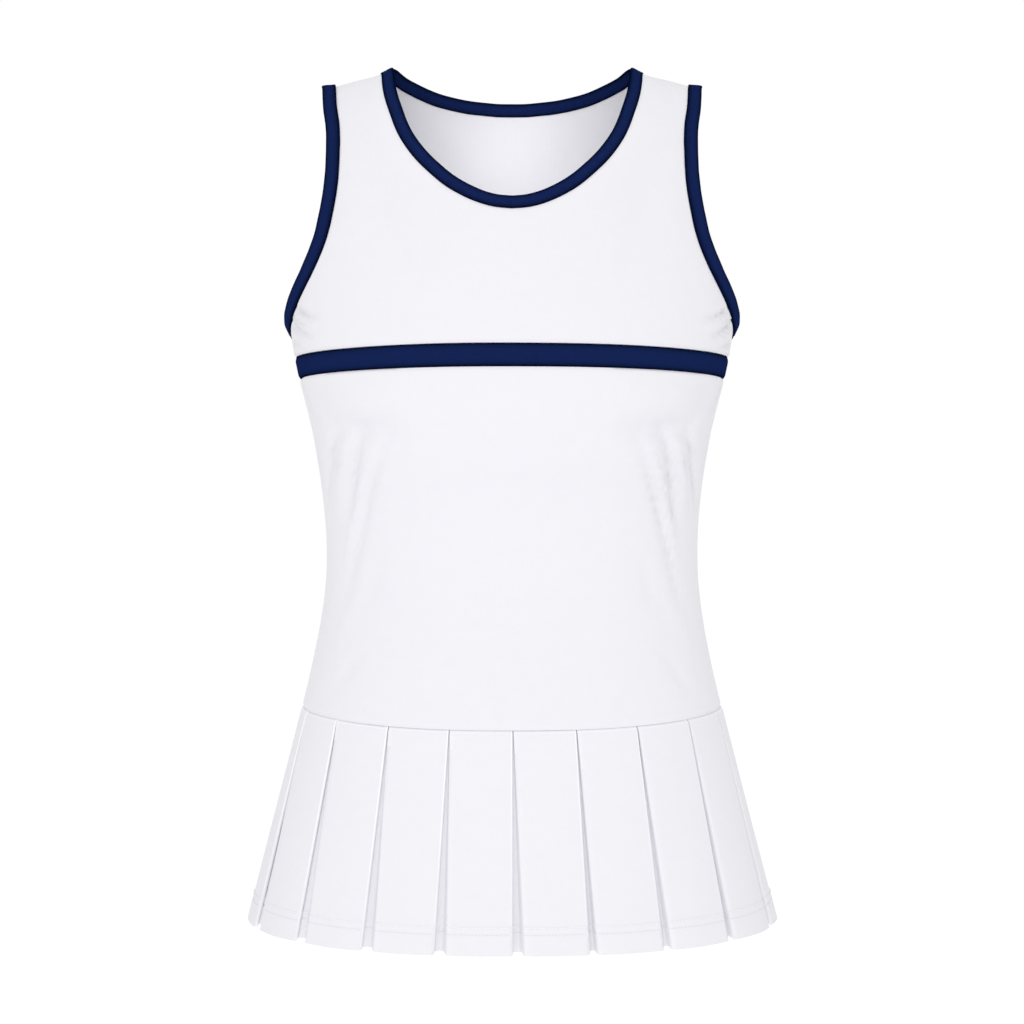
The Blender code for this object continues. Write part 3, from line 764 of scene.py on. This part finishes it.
def thin_shell(name, points, normals, uv, faces, material, node, slot, painted_highlight=None):
    """Cloth with both faces and its cut edges, from the points of its middle, with painted highlight
    amounts on its outer face if given.
    """
    faces = even_facing(points, normals, faces)
    count = len(points)
    both = np.concatenate([points + normals * CLOTH / 2, points - normals * CLOTH / 2])
    edges = np.concatenate([faces[:, [k, (k + 1) % 4]] for k in range(4)])
    key = np.sort(edges, axis=1)
    _, first, uses = np.unique(key, axis=0, return_index=True, return_counts=True)
    rim = edges[first[uses == 1]]
    rims = np.stack([rim[:, 1], rim[:, 0], rim[:, 0] + count, rim[:, 1] + count], axis=1)
    whole = np.concatenate([faces, faces[:, ::-1] + count, rims])
    piece = mesh_piece(name, both, whole, np.concatenate([uv, uv]), material, node)
    # Painted highlight: lighter colour on the outer face only, none on the inner face.
    if painted_highlight is not None:
        painted_highlight = np.concatenate([painted_highlight, painted_highlight * 0])
        add_map(piece.data, "painted_highlight", np.stack([painted_highlight, painted_highlight], axis=1))
    return piece


def placed(name, data):
    """A new object in the scene, from a mesh, a lamp or a camera."""
    made = bpy.data.objects.new(name, data)
    bpy.context.scene.collection.objects.link(made)
    return made


def add_map(mesh, name, values):
    """Keeps two values of each point with the mesh, for its material."""
    layer = mesh.uv_layers.new(name=name)
    loops = np.empty(len(mesh.loops), np.int32)
    mesh.loops.foreach_get("vertex_index", loops)
    layer.data.foreach_set("uv", values[loops].astype(np.float32).ravel())


def mesh_piece(name, points, faces, uv, material, node):
    """One piece of the top, on the body and, with a node, in place of its solid."""
    mesh = bpy.data.meshes.new(name)
    mesh.from_pydata((points * MM).tolist(), [], faces.tolist())
    mesh.polygons.foreach_set("use_smooth", np.ones(len(mesh.polygons), bool))
    if uv is not None:
        add_map(mesh, "cloth", uv)
    mesh.materials.append(material)
    mesh.update()
    mesh.set_sharp_from_angle(angle=SHARP_FROM)
    piece = placed(name, mesh)
    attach(piece, "root")
    if node:
        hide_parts(node)
    return piece


def grain(net):
    """Place in the cloth, in millimetres: round the body and up it."""
    girth, rise = net[:2]
    points = surface(girth, rise)
    from_back = np.sign(points[..., 0]) * (2 - np.abs(girth))
    from_middle = np.where(np.abs(girth) > 1, from_back, girth)
    return np.stack([from_middle * ROUND_BODY, points[..., 2]], axis=-1)


def body_piece(name, nets, front, material, node, slot, place=grain):
    """nets are (net, has a seam at its first row, has one at its last row)."""
    parts = []
    for net, top_seam, bottom_seam in nets:
        points, normals = body_points(net, front, top_seam, bottom_seam)
        parts.append((points, normals, place(net)))
    points, normals, uv, faces = joined(parts)
    return thin_shell(name, points, normals, uv, faces, material, node, slot)


def make_yoke(material):
    """White front above the band, with both straps."""
    nets = upper_nets(False, band_edge(column_girths(False), BAND_TOP, HALF_GAP))
    parts = [(nets[0], False, True)] + [(net, False, False) for net in nets[1:]]
    return body_piece("yoke_cloth", parts, True, material, "front_yoke", "white_knit")


def down_band(net):
    """Place in the band, in millimetres: along it and down it."""
    girth, _ = net
    down = np.broadcast_to(np.linspace(0, BAND_WIDTH, girth.shape[0])[:, None], girth.shape)
    return np.stack([girth * ROUND_BODY, down], axis=-1)


def make_band(material):
    """Navy strip across the chest."""
    girth = np.linspace(0, 1, SIDE_COLUMNS + 1)
    top = band_edge(girth, BAND_TOP, -HALF_GAP)
    bottom = band_edge(girth, BAND_BOTTOM, HALF_GAP)
    nets = [(both_sides(between(top, bottom, BAND_ROWS, BAND_CROWDING)), True, True)]
    return body_piece("band_cloth", nets, True, material, "chest_band", "navy_band", down_band)


def make_front(material):
    """White front from the band down to the drop waist."""
    girth = np.linspace(0, 1, SIDE_COLUMNS + 1)
    top = band_edge(girth, BAND_BOTTOM, -HALF_GAP)
    net = both_sides(between(top, seam_places(girth, False), BODY_ROWS, BODY_CROWDING))
    return body_piece("front_cloth", [(net, True, True)], True, material, "front_body", "white_knit")


def make_back(material):
    """White back from the shoulders down to the drop waist."""
    girth = column_girths(True)
    lower = named_from_front(girth, BAND_TOP[1], True)
    nets = [(net, False, False) for net in upper_nets(True, lower)]
    nets.append((both_sides(between(lower, seam_places(girth, True), BACK_ROWS)), False, True))
    return body_piece("back_cloth", nets, False, material, "back_panel", "white_knit")


def binding_outline():
    """Places round the folded strip as it shows: distance from the fold, height."""
    inner = CLOTH / 2 + BINDING_ROOM
    outer = inner + BINDING_CLOTH
    stitch = BINDING_STITCH_PLACE
    leg = [
        (BINDING_WIDTH, inner),
        (BINDING_WIDTH + 0.12, inner + 0.3),
        (BINDING_WIDTH - 0.1, outer - 0.06),
        (BINDING_WIDTH - 0.6, outer + 0.04),
        (stitch + 1.0, outer + 0.04),
        (stitch + 0.4, outer - 0.12),
        (stitch, outer - BINDING_GROOVE),
        (stitch - 0.4, outer - 0.12),
        (stitch - 1.0, outer + 0.06),
        (stitch - 2.6, outer + 0.14),
        (2.4, outer + 0.1),
        (1.3, outer),
        (0.6, outer - 0.3),
        (0.15, outer * 0.4),
    ]
    half_inside = [(0.9, inner * 0.4), (1.4, inner), (5.0, inner)]
    other_leg = [(distance, -height) for distance, height in leg[::-1]]
    other_inside = [(distance, -height) for distance, height in half_inside[::-1]]
    return leg + other_leg + [(BINDING_WIDTH - 0.5, -inner)] + other_inside + half_inside


def eased(ring, rise):
    """A closed line with its corner over the shoulder ridge rounded off."""
    ridge = np.flatnonzero(np.abs(rise - 1) < 1e-6)
    index = np.arange(len(ring))
    apart = np.abs(index[:, None] - ridge[None, :])
    apart = np.minimum(apart, len(ring) - apart).min(axis=1, initial=99)
    share = 0.5 * np.exp(-((apart / EASED_POINTS) ** 2))[:, None]
    for _ in range(EASED_ROUNDS):
        middle = (np.roll(ring, 1, axis=0) + np.roll(ring, -1, axis=0)) / 2
        ring = ring * (1 - share) + middle * share
    return ring


def make_binding(name, edge, side, stands, material, node):
    """Folded strip round a closed edge, or its mirror image."""
    beside = strip_beside(*edge)
    rows, uv = [], []
    count = len(edge[0])
    length = walked(surface(*edge))
    for k, (distance, height) in enumerate(binding_outline()):
        girth, rise = beside(distance)
        points = surface(girth, rise)
        ripple = BINDING_RIPPLE * np.sin(length / 3.1 + k / 4) * np.sin(length / 11.3)
        lift = creased(points) * min(1, distance / BINDING_WIDTH) + stands * stand(points, distance)
        moved = points + outward(girth, rise) * (height + lift + ripple)[:, None]
        rows.append(eased(moved, rise) * [side, 1, 1])
        uv.append(np.stack([length, np.full(count, distance * np.sign(height + 1e-9))], axis=-1))
    around = len(rows)
    faces = net_faces(around, count, 0, True)
    last = (around - 1) * count
    for c in range(count):
        right = (c + 1) % count
        faces.append((last + c, last + right, right, c))
    faces = np.array(faces)
    if side > 0:
        faces = faces[:, ::-1]
    points = np.concatenate(rows)
    piece = mesh_piece(name, points, faces, np.concatenate(uv), material, node)
    last_step = length[-1] - length[-2]
    return piece, length[-1] + last_step


def stitch_shapes(path, normals, stitch):
    """Points and faces of short raised stitches along a path."""
    length = walked(path)
    count = int(length[-1] // stitch.pitch)
    centres = (np.arange(count) + 0.5) * length[-1] / count
    centres = centres + rng.normal(0, STITCH_WANDER, count)
    middle = on_line(path, length, centres)
    beyond = on_line(path, length, centres + STITCH_RUN)
    ahead = unit(beyond - on_line(path, length, centres - STITCH_RUN))
    up = unit(on_line(normals, length, centres))
    across = unit(np.cross(ahead, up))
    points, faces = [], []
    for along, spread, lift in STITCH_SECTIONS:
        base = middle + ahead * (along * stitch.long)
        for turn_across, turn_up in ((1, 0), (0, 1), (-1, 0), (0, -1)):
            wide_by = turn_across * (spread + STITCH_LEAST) * stitch.wide / 2
            high_by = (lift + turn_up * (spread + STITCH_LEAST)) * stitch.high / 2
            points.append(base + across * wide_by + up * high_by)
    for first in range(0, 4 * (len(STITCH_SECTIONS) - 1), 4):
        for q in range(4):
            a, b = first + q, first + (q + 1) % 4
            faces.append((a, b, b + 4, a + 4))
    size = 4 * len(STITCH_SECTIONS)
    faces += [(3, 2, 1, 0), (size - 4, size - 3, size - 2, size - 1)]
    faces = np.arange(count)[:, None, None] * size + np.array(faces)[None]
    return np.stack(points, axis=1).reshape(-1, 3), faces.reshape(-1, 4)


def stitch_piece(name, shapes, material):
    """One piece from the stitches of one or more stretches of a row."""
    firsts = np.cumsum([0] + [len(points) for points, _ in shapes])
    points = np.concatenate([points for points, _ in shapes])
    faces = np.concatenate([faces + first for (_, faces), first in zip(shapes, firsts)])
    return mesh_piece(name, points, faces, None, material, None)


def binding_stitches(name, edge, side, stands, inner_leg, material):
    """The row of stitches along one leg of a binding."""
    girth, rise = strip_beside(*edge)(BINDING_STITCH_PLACE)
    middle, normals = surface(girth, rise), outward(girth, rise)
    height = CLOTH / 2 + BINDING_ROOM + BINDING_CLOTH - STITCH_SUNK
    sign = -1 if inner_leg else 1
    lift = creased(middle) * BINDING_STITCH_PLACE / BINDING_WIDTH
    off = lift + stands * stand(middle, BINDING_STITCH_PLACE) + sign * height
    points = (middle + normals * off[:, None]) * [side, 1, 1]
    normals = normals * [side, 1, 1] * sign
    path, up = np.concatenate([points, points[:1]]), np.concatenate([normals, normals[:1]])
    return stitch_piece(name, [stitch_shapes(path, up, BINDING_STITCH)], material)


def arc(centre_along, centre_out, radius, start, end):
    """Points round part of a circle, where the cloth of a pleat turns."""
    turn = np.radians(np.linspace(start, end, ARC_POINTS))
    return [(centre_along + radius * np.cos(t), centre_out + radius * np.sin(t)) for t in turn]


def skirt_crease(share, wobble, opened):
    """Middle of the cloth over one crease: distance past the crease, and out."""
    fold = FOLD_TOP + (FOLD_HEM - FOLD_TOP) * share
    intake = INTAKE_SEAM + (INTAKE_HEM - INTAKE_SEAM) * share
    wide = RISE_SHOWN_HEM * opened * (1 + 0.1 * wobble[0])
    rising = RISE_SHOWN_SEAM + (wide - RISE_SHOWN_SEAM) * share
    lean = LEAN_HEM * share * (1 + 0.5 * wobble[1])
    deep = 2 * fold + LAYER + lean * (1 + 0.5 * wobble[2])
    before = arc(-fold, -fold, fold, 90, -90)
    before += arc(LAYER / 2 - intake, -2 * fold - LAYER / 2, LAYER / 2, 90, 270)
    steps = np.linspace(0, 1, RISE_STEPS)
    lift = np.clip((steps - FLAT_SHARE) / (1 - FLAT_SHARE), 0, 1)
    lift = lift * lift * (3 - 2 * lift)
    dip = RECESS_DIP * share * np.sin(np.pi * np.clip(steps / DIP_SHARE, 0, 1))
    out = deep * (lift - 1) - dip
    after = list(zip(RISE_START + (rising - RISE_START) * steps, out))
    return before, after


def panel_places(left, right, share, wobble):
    """Places across one pleat's panel, the last two close to its fold."""
    close = np.array(CLOSE_TO_FOLD) / (right - left)
    inner = np.linspace(0, 1, PANEL_POINTS + 2)[1:-1]
    t = np.concatenate([inner, 1 - close[::-1]])
    bulge = BOW_HEM * share * 4 * t * (1 - t) * (1 + 0.5 * wobble[1])
    ripple = PANEL_RIPPLE * share**2 * np.sin(np.pi * t) * np.sin(5 * share + 3 * wobble[0] + 4 * t)
    return list(zip(left + (right - left) * t, bulge + ripple))


def half_end(before, after, gap):
    """The cut end in the middle of a crease, where the front and back parts meet."""
    foot = (np.array(before[-1]) + np.array(after[0])) / 2
    return foot[0] + gap, foot[1]


def skirt_middle(share, lengths, back, wobbles):
    """Middle of the cloth over one half of the skirt part, and what shows."""
    middle = len(lengths) // 2
    start = lengths[middle] if back else 0.0
    end = lengths[-1] if back else lengths[middle - 1]
    pitch = (end - start) / PLEATS_EACH_SIDE
    first = PLEATS_EACH_SIDE if back else 0
    line, shows = [], []
    for k in range(PLEATS_EACH_SIDE):
        crease = start + k * pitch
        here, beyond = wobbles[first + k], wobbles[(first + k + 1) % len(wobbles)]
        opened = 1 + PLEATS_OPEN * np.cos(np.pi * k / PLEATS_EACH_SIDE)
        before_here, after = skirt_crease(share, here, opened)
        before, _ = skirt_crease(share, beyond, 1.0)
        if k == 0:
            along, out = half_end(before_here, after, HALF_GAP)
            line.append((crease + along, out))
            shows.append(END)
        wander, wander_next = WANDER_HEM * share * here[3], WANDER_HEM * share * beyond[3]
        line += [(crease + s + wander * min(1, max(0, s)), out) for s, out in after]
        shows += [RECESS] * len(after)
        left, right = crease + after[-1][0] + wander, crease + pitch + before[0][0] + wander_next
        panel = panel_places(left, right, share, here)
        line += panel
        shows += [PANEL] * len(panel)
        line += [(crease + pitch + s + wander_next * (s > -FOLD_REACH), out) for s, out in before]
        shows += [FOLD] * len(before)
    last = skirt_crease(share, wobbles[(first + PLEATS_EACH_SIDE) % len(wobbles)], 1 - PLEATS_OPEN)
    along, out = half_end(*last, -HALF_GAP)
    line.append((end + along, out))
    shows.append(END)
    return np.array(line), np.array(shows)


def skirt_shares():
    """Shares of the way down at each line of the skirt, closer at the stitching."""
    even = np.linspace(0, 1, SKIRT_LINES + 1)
    even = even - SKIRT_CROWDING * np.sin(2 * np.pi * even) / (2 * np.pi)
    length = SEAM_SIDE - HEM_SIDE
    sewn = [row + gap for row in (LOWER_ROW, UPPER_ROW) for gap in (-ROW_WIDTH, 0.0, ROW_WIDTH)]
    sewn = 1 - np.array(sewn) / length
    clear = np.abs(even[:, None] - sewn[None, :]).min(axis=1) > 0.5 / length
    return np.sort(np.concatenate([even[clear], sewn]))


def hem_relief(above_hem):
    """How far the turned-up hem and its stitching stand out at this height."""
    lower = np.exp(-(((above_hem - LOWER_ROW) / ROW_WIDTH) ** 2))
    upper = np.exp(-(((above_hem - UPPER_ROW) / ROW_WIDTH) ** 2))
    fold = HEM_FOLD / (1 + np.exp((above_hem - UPPER_ROW) / ROW_WIDTH))
    return fold - LOWER_ROW_GROOVE * lower + UPPER_ROW_RIDGE * upper


def painted_highlight_places(shows, share, below_seam):
    """How much painted highlight each point of one skirt line gets: along the pleat folds, at the
    foot of each rise and just below the waist seam.
    """
    painted_highlight = np.zeros(len(shows))
    folds = np.flatnonzero((shows[1:] == FOLD) & (shows[:-1] == PANEL)) + 1
    for further, amount in enumerate(FOLD_EDGE_PAINTED_HIGHLIGHT):
        painted_highlight[folds + further] = amount * np.interp(share, [0, 0.5, 1], FOLD_PAINTED_HIGHLIGHT)
    painted_highlight[np.flatnonzero((shows[1:] == PANEL) & (shows[:-1] == RECESS))] = RISE_PAINTED_HIGHLIGHT
    from_line = below_seam - SEAM_PAINTED_HIGHLIGHT_DROP
    return np.maximum(painted_highlight, SEAM_PAINTED_HIGHLIGHT * np.exp(-(from_line**2) / SEAM_PAINTED_HIGHLIGHT_SPREAD))


def make_skirt(name, back, material, node, wobbles):
    """Pleated half of the skirt part, and what its stitching needs of it."""
    rows, normals, uv, painted_highlight = [], [], [], []
    for share in skirt_shares():
        ring, lengths = skirt_ring(share)
        line, shows = skirt_middle(share, lengths, back, wobbles)
        below_seam = (SEAM_SIDE - HEM_SIDE) * share
        above_hem = (1 - share) * (SEAM_SIDE - HEM_SIDE)
        open_face = np.isin(shows, (PANEL, RECESS))
        line[:, 1] += np.where(open_face, hem_relief(above_hem), 0) + seam_roll(below_seam)
        skins = [mitred(line, side * CLOTH / 2) for side in (1, -1)]
        outer, inner = (ring_place(ring, lengths, skin[:, 0], skin[:, 1]) for skin in skins)
        lift = RECESS_LIFT * share**LIFT_POWER * np.clip(-line[:, 1] / LIFT_DEPTH, 0, 1)
        outer[:, 2] += lift
        inner[:, 2] += lift
        rows.append((outer + inner) / 2)
        normals.append((outer - inner) / CLOTH)
        uv.append(np.stack([walked(line), np.full(len(line), -above_hem)], axis=-1))
        # Painted highlight amounts of this line.
        painted_highlight.append(painted_highlight_places(shows, share, below_seam))
    points, normals, uv = np.array(rows), np.array(normals), np.array(uv)
    faces = np.array(net_faces(len(rows), len(shows)))
    flat = [points.reshape(-1, 3), normals.reshape(-1, 3), uv.reshape(-1, 2)]
    piece = thin_shell(name, *flat, faces, material, node, "white_pleats", np.concatenate(painted_highlight))
    return piece, points, normals, shows, -uv[:, 0, 1]


def hem_stitches(name, skirt, height, stitch, material):
    """One needle's row over the faces of the pleats."""
    _, points, normals, shows, heights = skirt
    row = int(np.argmin(np.abs(heights - height)))
    face = np.flatnonzero(np.isin(shows, (PANEL, RECESS)))
    shapes = []
    for group in np.split(face, np.flatnonzero(np.diff(face) > 1) + 1):
        normal = unit(normals[row, group])
        path = points[row, group] + normal * (CLOTH / 2 + STITCH_LIFT)
        shapes.append(stitch_shapes(path, normal, stitch))
    return stitch_piece(name, shapes, material)


def plug(tree, value, inlet):
    """Links a shader value to an inlet, or sets a plain one there."""
    if isinstance(value, Socket):
        tree.links.new(value.socket, inlet)
    else:
        inlet.default_value = value


class Socket:
    """A shader value: arithmetic on it makes the maths nodes."""

    def __init__(self, tree, socket):
        self.tree, self.socket = tree, socket

    def maths(self, operation, *others):
        node = self.tree.nodes.new("ShaderNodeMath")
        node.operation = operation
        for k, value in enumerate((self,) + others):
            plug(self.tree, value, node.inputs[k])
        return Socket(self.tree, node.outputs[0])

    def __add__(self, other):
        return self.maths("ADD", other)

    def __mul__(self, other):
        return self.maths("MULTIPLY", other)

    def __sub__(self, other):
        return self.maths("SUBTRACT", other)

    def __truediv__(self, other):
        return self.maths("DIVIDE", other)

    def __rsub__(self, other):
        return (self * -1) + other

    __radd__ = __add__
    __rmul__ = __mul__

    def sine(self):
        return self.maths("SINE")

    def size(self):
        return self.maths("ABSOLUTE")

    def fraction(self):
        return self.maths("FRACT")


class Material:
    """A material with its shader, and one way to add a node to it."""

    def __init__(self, name):
        self.material = bpy.data.materials.new(name)
        self.material.use_nodes = True
        self.tree = self.material.node_tree
        self.shader = self.tree.nodes["Principled BSDF"]

    def node(self, kind, settings, values, outlet=0):
        made = self.tree.nodes.new(kind)
        for key, value in settings.items():
            setattr(made, key, value)
        for key, value in values.items():
            plug(self.tree, value, made.inputs[key])
        return Socket(self.tree, made.outputs[outlet])

    def mix(self, amount, first, second):
        return self.node(
            "ShaderNodeMix",
            {"data_type": "RGBA", "blend_type": "MIX"},
            {0: amount, 6: first, 7: second},
            2,
        )

    def split(self, vector):
        made = self.node("ShaderNodeSeparateXYZ", {}, {0: vector}).socket.node
        return [Socket(self.tree, outlet) for outlet in made.outputs]

    def relief(self, strength, deep, height):
        """Fine raised texture, this many millimetres deep."""
        values = {"Strength": strength, "Distance": deep * MM, "Height": height}
        self.feed("Normal", self.node("ShaderNodeBump", {}, values))

    def noise(self, scale, detail):
        return self.node("ShaderNodeTexNoise", {}, {"Scale": scale, "Detail": detail})

    def cloth_map(self, name):
        return self.split(self.node("ShaderNodeUVMap", {"uv_map": name}, {}))

    def feed(self, name, value):
        plug(self.tree, value, self.shader.inputs[name])


def knit(name, texture, painted_highlight=None):
    """White jersey: fine ribs of loops up the cloth, a faint cloudiness, soft sheen, and a painted
    highlight colour where its map says.
    """
    made = Material(name)
    across, up, _ = made.cloth_map("cloth")
    wale = (across * (np.pi / WALE)).sine().size()
    slant = (across * (1 / WALE)).fraction() - 0.5
    course = ((up * (1 / COURSE) + slant.size() * 0.9) * (2 * np.pi)).sine()
    cloud, fuzz = made.noise(26.0, 3.0), made.noise(2400.0, 2.0)
    base = made.mix(cloud * 0.8 + wale * 0.15 + fuzz * 0.2, WHITE_SHADE, WHITE)
    # Painted highlight: mixes toward a lighter colour where the cloth catches the light.
    if painted_highlight:
        edge, _, _ = made.cloth_map("painted_highlight")
        base = made.mix(edge, base, painted_highlight)
    made.feed("Base Color", base)
    made.feed("Roughness", 0.6 + cloud * 0.1)
    made.relief(texture, KNIT_RELIEF, wale * 0.6 + course * 0.25 + fuzz * 0.5)
    made.feed("Sheen Weight", 0.06)
    made.feed("Sheen Roughness", 0.5)
    made.feed("Specular IOR Level", 0.3)
    return made.material


def bound(name, half_width):
    """Navy knit of a narrow strip, with painted shade toward both its edges and a darker random
    cloudiness.
    """
    made = Material(name)
    along, across, _ = made.cloth_map("cloth")
    wale = (across * (np.pi / BOUND_WALE)).sine().size()
    course = (along * (2 * np.pi / COURSE)).sine()
    cloud, fuzz = made.noise(60.0, 3.0), made.noise(2400.0, 2.0)
    # Painted shade: darker toward both edges of the strip, where it turns away from the light.
    from_middle = ((across.size() - half_width) / half_width).size()
    edge = from_middle.maths("POWER", 3.0)
    made.feed("Base Color", made.mix(edge * 1.1 + cloud * 0.4 + wale * 0.2, NAVY, NAVY_EDGE_SHADE_AND_CLOUD))
    made.feed("Roughness", cloud * 0.1 + 0.68)
    made.relief(0.5, KNIT_RELIEF, wale * 0.5 + course * 0.3 + fuzz * 0.6)
    made.feed("Specular IOR Level", 0.0)
    return made.material


def thread(name, colour, roughness):
    """Twisted thread, with painted shade in a fine noise where its twist turns away."""
    made = Material(name)
    twist = made.noise(1500.0, 1.0)
    # Painted shade: a darker copy of the colour where the twist turns away from the light.
    twist_painted_shade = tuple(c * 0.8 for c in colour[:3]) + (1.0,)
    made.feed("Base Color", made.mix(twist, twist_painted_shade, colour))
    made.feed("Roughness", roughness)
    made.relief(0.3, THREAD_RELIEF, twist)
    made.feed("Specular IOR Level", 0.1)
    return made.material


def plain_floor(size, below):
    """Even white ground some way below the hem."""
    mesh = bpy.data.meshes.new("floor")
    corners = [(-size, -size, below), (size, -size, below), (size, size, below), (-size, size, below)]
    mesh.from_pydata(corners, [], [(0, 1, 2, 3)])
    floor = placed("floor", mesh)
    pale = Material("pale_floor")
    pale.feed("Base Color", PALE)
    pale.feed("Roughness", 0.9)
    pale.feed("Specular IOR Level", 0.0)
    pale.feed("Emission Color", PURE_WHITE)
    pale.feed("Emission Strength", 0.12)
    mesh.materials.append(pale.material)


def aimed(name, lamp, place, target):
    """Puts a lamp at a place and turns it to a target."""
    made = placed(name, lamp)
    made.location = place
    away = np.array(place) - np.array(target)
    tilt = np.arctan2(np.hypot(away[0], away[1]), away[2])
    made.rotation_euler = (tilt, 0.0, np.arctan2(away[0], -away[1]))


def front_light(place, target, size, power):
    """A soft light that brings out the creases."""
    lamp = bpy.data.lights.new("front_light", "AREA")
    lamp.shape, lamp.size, lamp.energy = "SQUARE", size, power
    aimed("front_light", lamp, place, target)


def neck_light(place, target, width, power):
    """A narrow soft beam through the neck opening onto the inside of the back."""
    lamp = bpy.data.lights.new("neck_light", "SPOT")
    lamp.energy, lamp.spot_size, lamp.spot_blend = power, np.radians(width), 1.0
    lamp.shadow_soft_size = 0.05
    aimed("neck_light", lamp, place, target)


def studio():
    """Even white surroundings, two lights and a plain floor, in metres."""
    world = bpy.data.worlds.new("studio")
    bpy.context.scene.world = world
    world.use_nodes = True
    sky = world.node_tree.nodes["Background"]
    sky.inputs[0].default_value = PURE_WHITE
    sky.inputs[1].default_value = 1.0
    front_light((-0.22, -3.0, 0.1), (0, 0, -0.35), size=1.4, power=20.0)
    neck_light((0.0, -1.3, 0.36), (0.0, -0.02, -0.024), width=6.8, power=44.0)
    plain_floor(size=9.0, below=-1.05)
    bpy.context.scene.view_settings.view_transform = "Standard"
    bpy.context.scene.view_settings.look = "None"


def camera():
    """Straight from the front, as in the photograph."""
    lens = bpy.data.cameras.new("camera")
    lens.lens, lens.sensor_width = 76.0, 36.0
    lens.clip_start, lens.clip_end = 0.05, 50.0
    made = placed("camera", lens)
    made.location = (0.0, -1.6, -0.328)
    made.rotation_euler = (np.pi / 2, 0.0, 0.0)
    bpy.context.scene.camera = made


def make_body():
    """The four plain pieces."""
    white = knit("white_jersey", 0.28)
    navy = bound("navy_band_jersey", BAND_WIDTH / 2)
    make_yoke(white)
    make_band(navy)
    make_front(white)
    make_back(white)


def make_bindings():
    """The three folded strips, then their stitches on both legs."""
    navy = bound("navy_binding_jersey", BINDING_WIDTH / 2)
    navy_thread = thread("navy_thread", NAVY_THREAD, 0.7)
    openings = (
        ("neck", "neck_binding", neck_ring(), 1, 0),
        ("armhole_left", "armhole_binding_left", armhole_ring(), 1, 1),
        ("armhole_right", "armhole_binding_right", armhole_ring(), -1, 1),
    )
    strips = [
        make_binding(f"{node}_cloth", edge, side, stands, navy, node)
        for _, node, edge, side, stands in openings
    ]
    for (name, _, edge, side, stands), (strip, length) in zip(openings, strips):
        sewn = [
            binding_stitches(f"{name}_stitches_{leg}", edge, side, stands, inner, navy_thread)
            for leg, inner in (("outside", False), ("inside", True))
        ]
        length * MM


def make_pleats():
    """Both halves of the skirt part, then their two rows of hem stitches."""
    # The pleat cloth gets its painted highlight colour here.
    white = knit("white_pleat_jersey", 0.3, WHITE_PAINTED_HIGHLIGHT)
    lower_thread = thread("white_thread", WHITE_THREAD, 0.5)
    # Upper hem row: the white thread with a painted highlight.
    upper_thread = thread("thread_painted_highlight", THREAD_PAINTED_HIGHLIGHT, 0.5)
    wobbles = rng.normal(0, WOBBLE, (2 * PLEATS_EACH_SIDE, 4)).clip(-MOST_WOBBLE, MOST_WOBBLE)
    halves = (("front", False), ("back", True))
    skirts = [
        make_skirt(f"skirt_{place}_cloth", back, white, f"peplum_{place}", wobbles)
        for place, back in halves
    ]
    for (place, _), skirt in zip(halves, skirts):
        sewn = [
            hem_stitches(f"hem_{place}_lower_row", skirt, LOWER_ROW, LOWER_STITCH, lower_thread),
            hem_stitches(f"hem_{place}_upper_row", skirt, UPPER_ROW, UPPER_STITCH, upper_thread),
        ]


make_body()
make_bindings()
make_pleats()
studio()
camera()
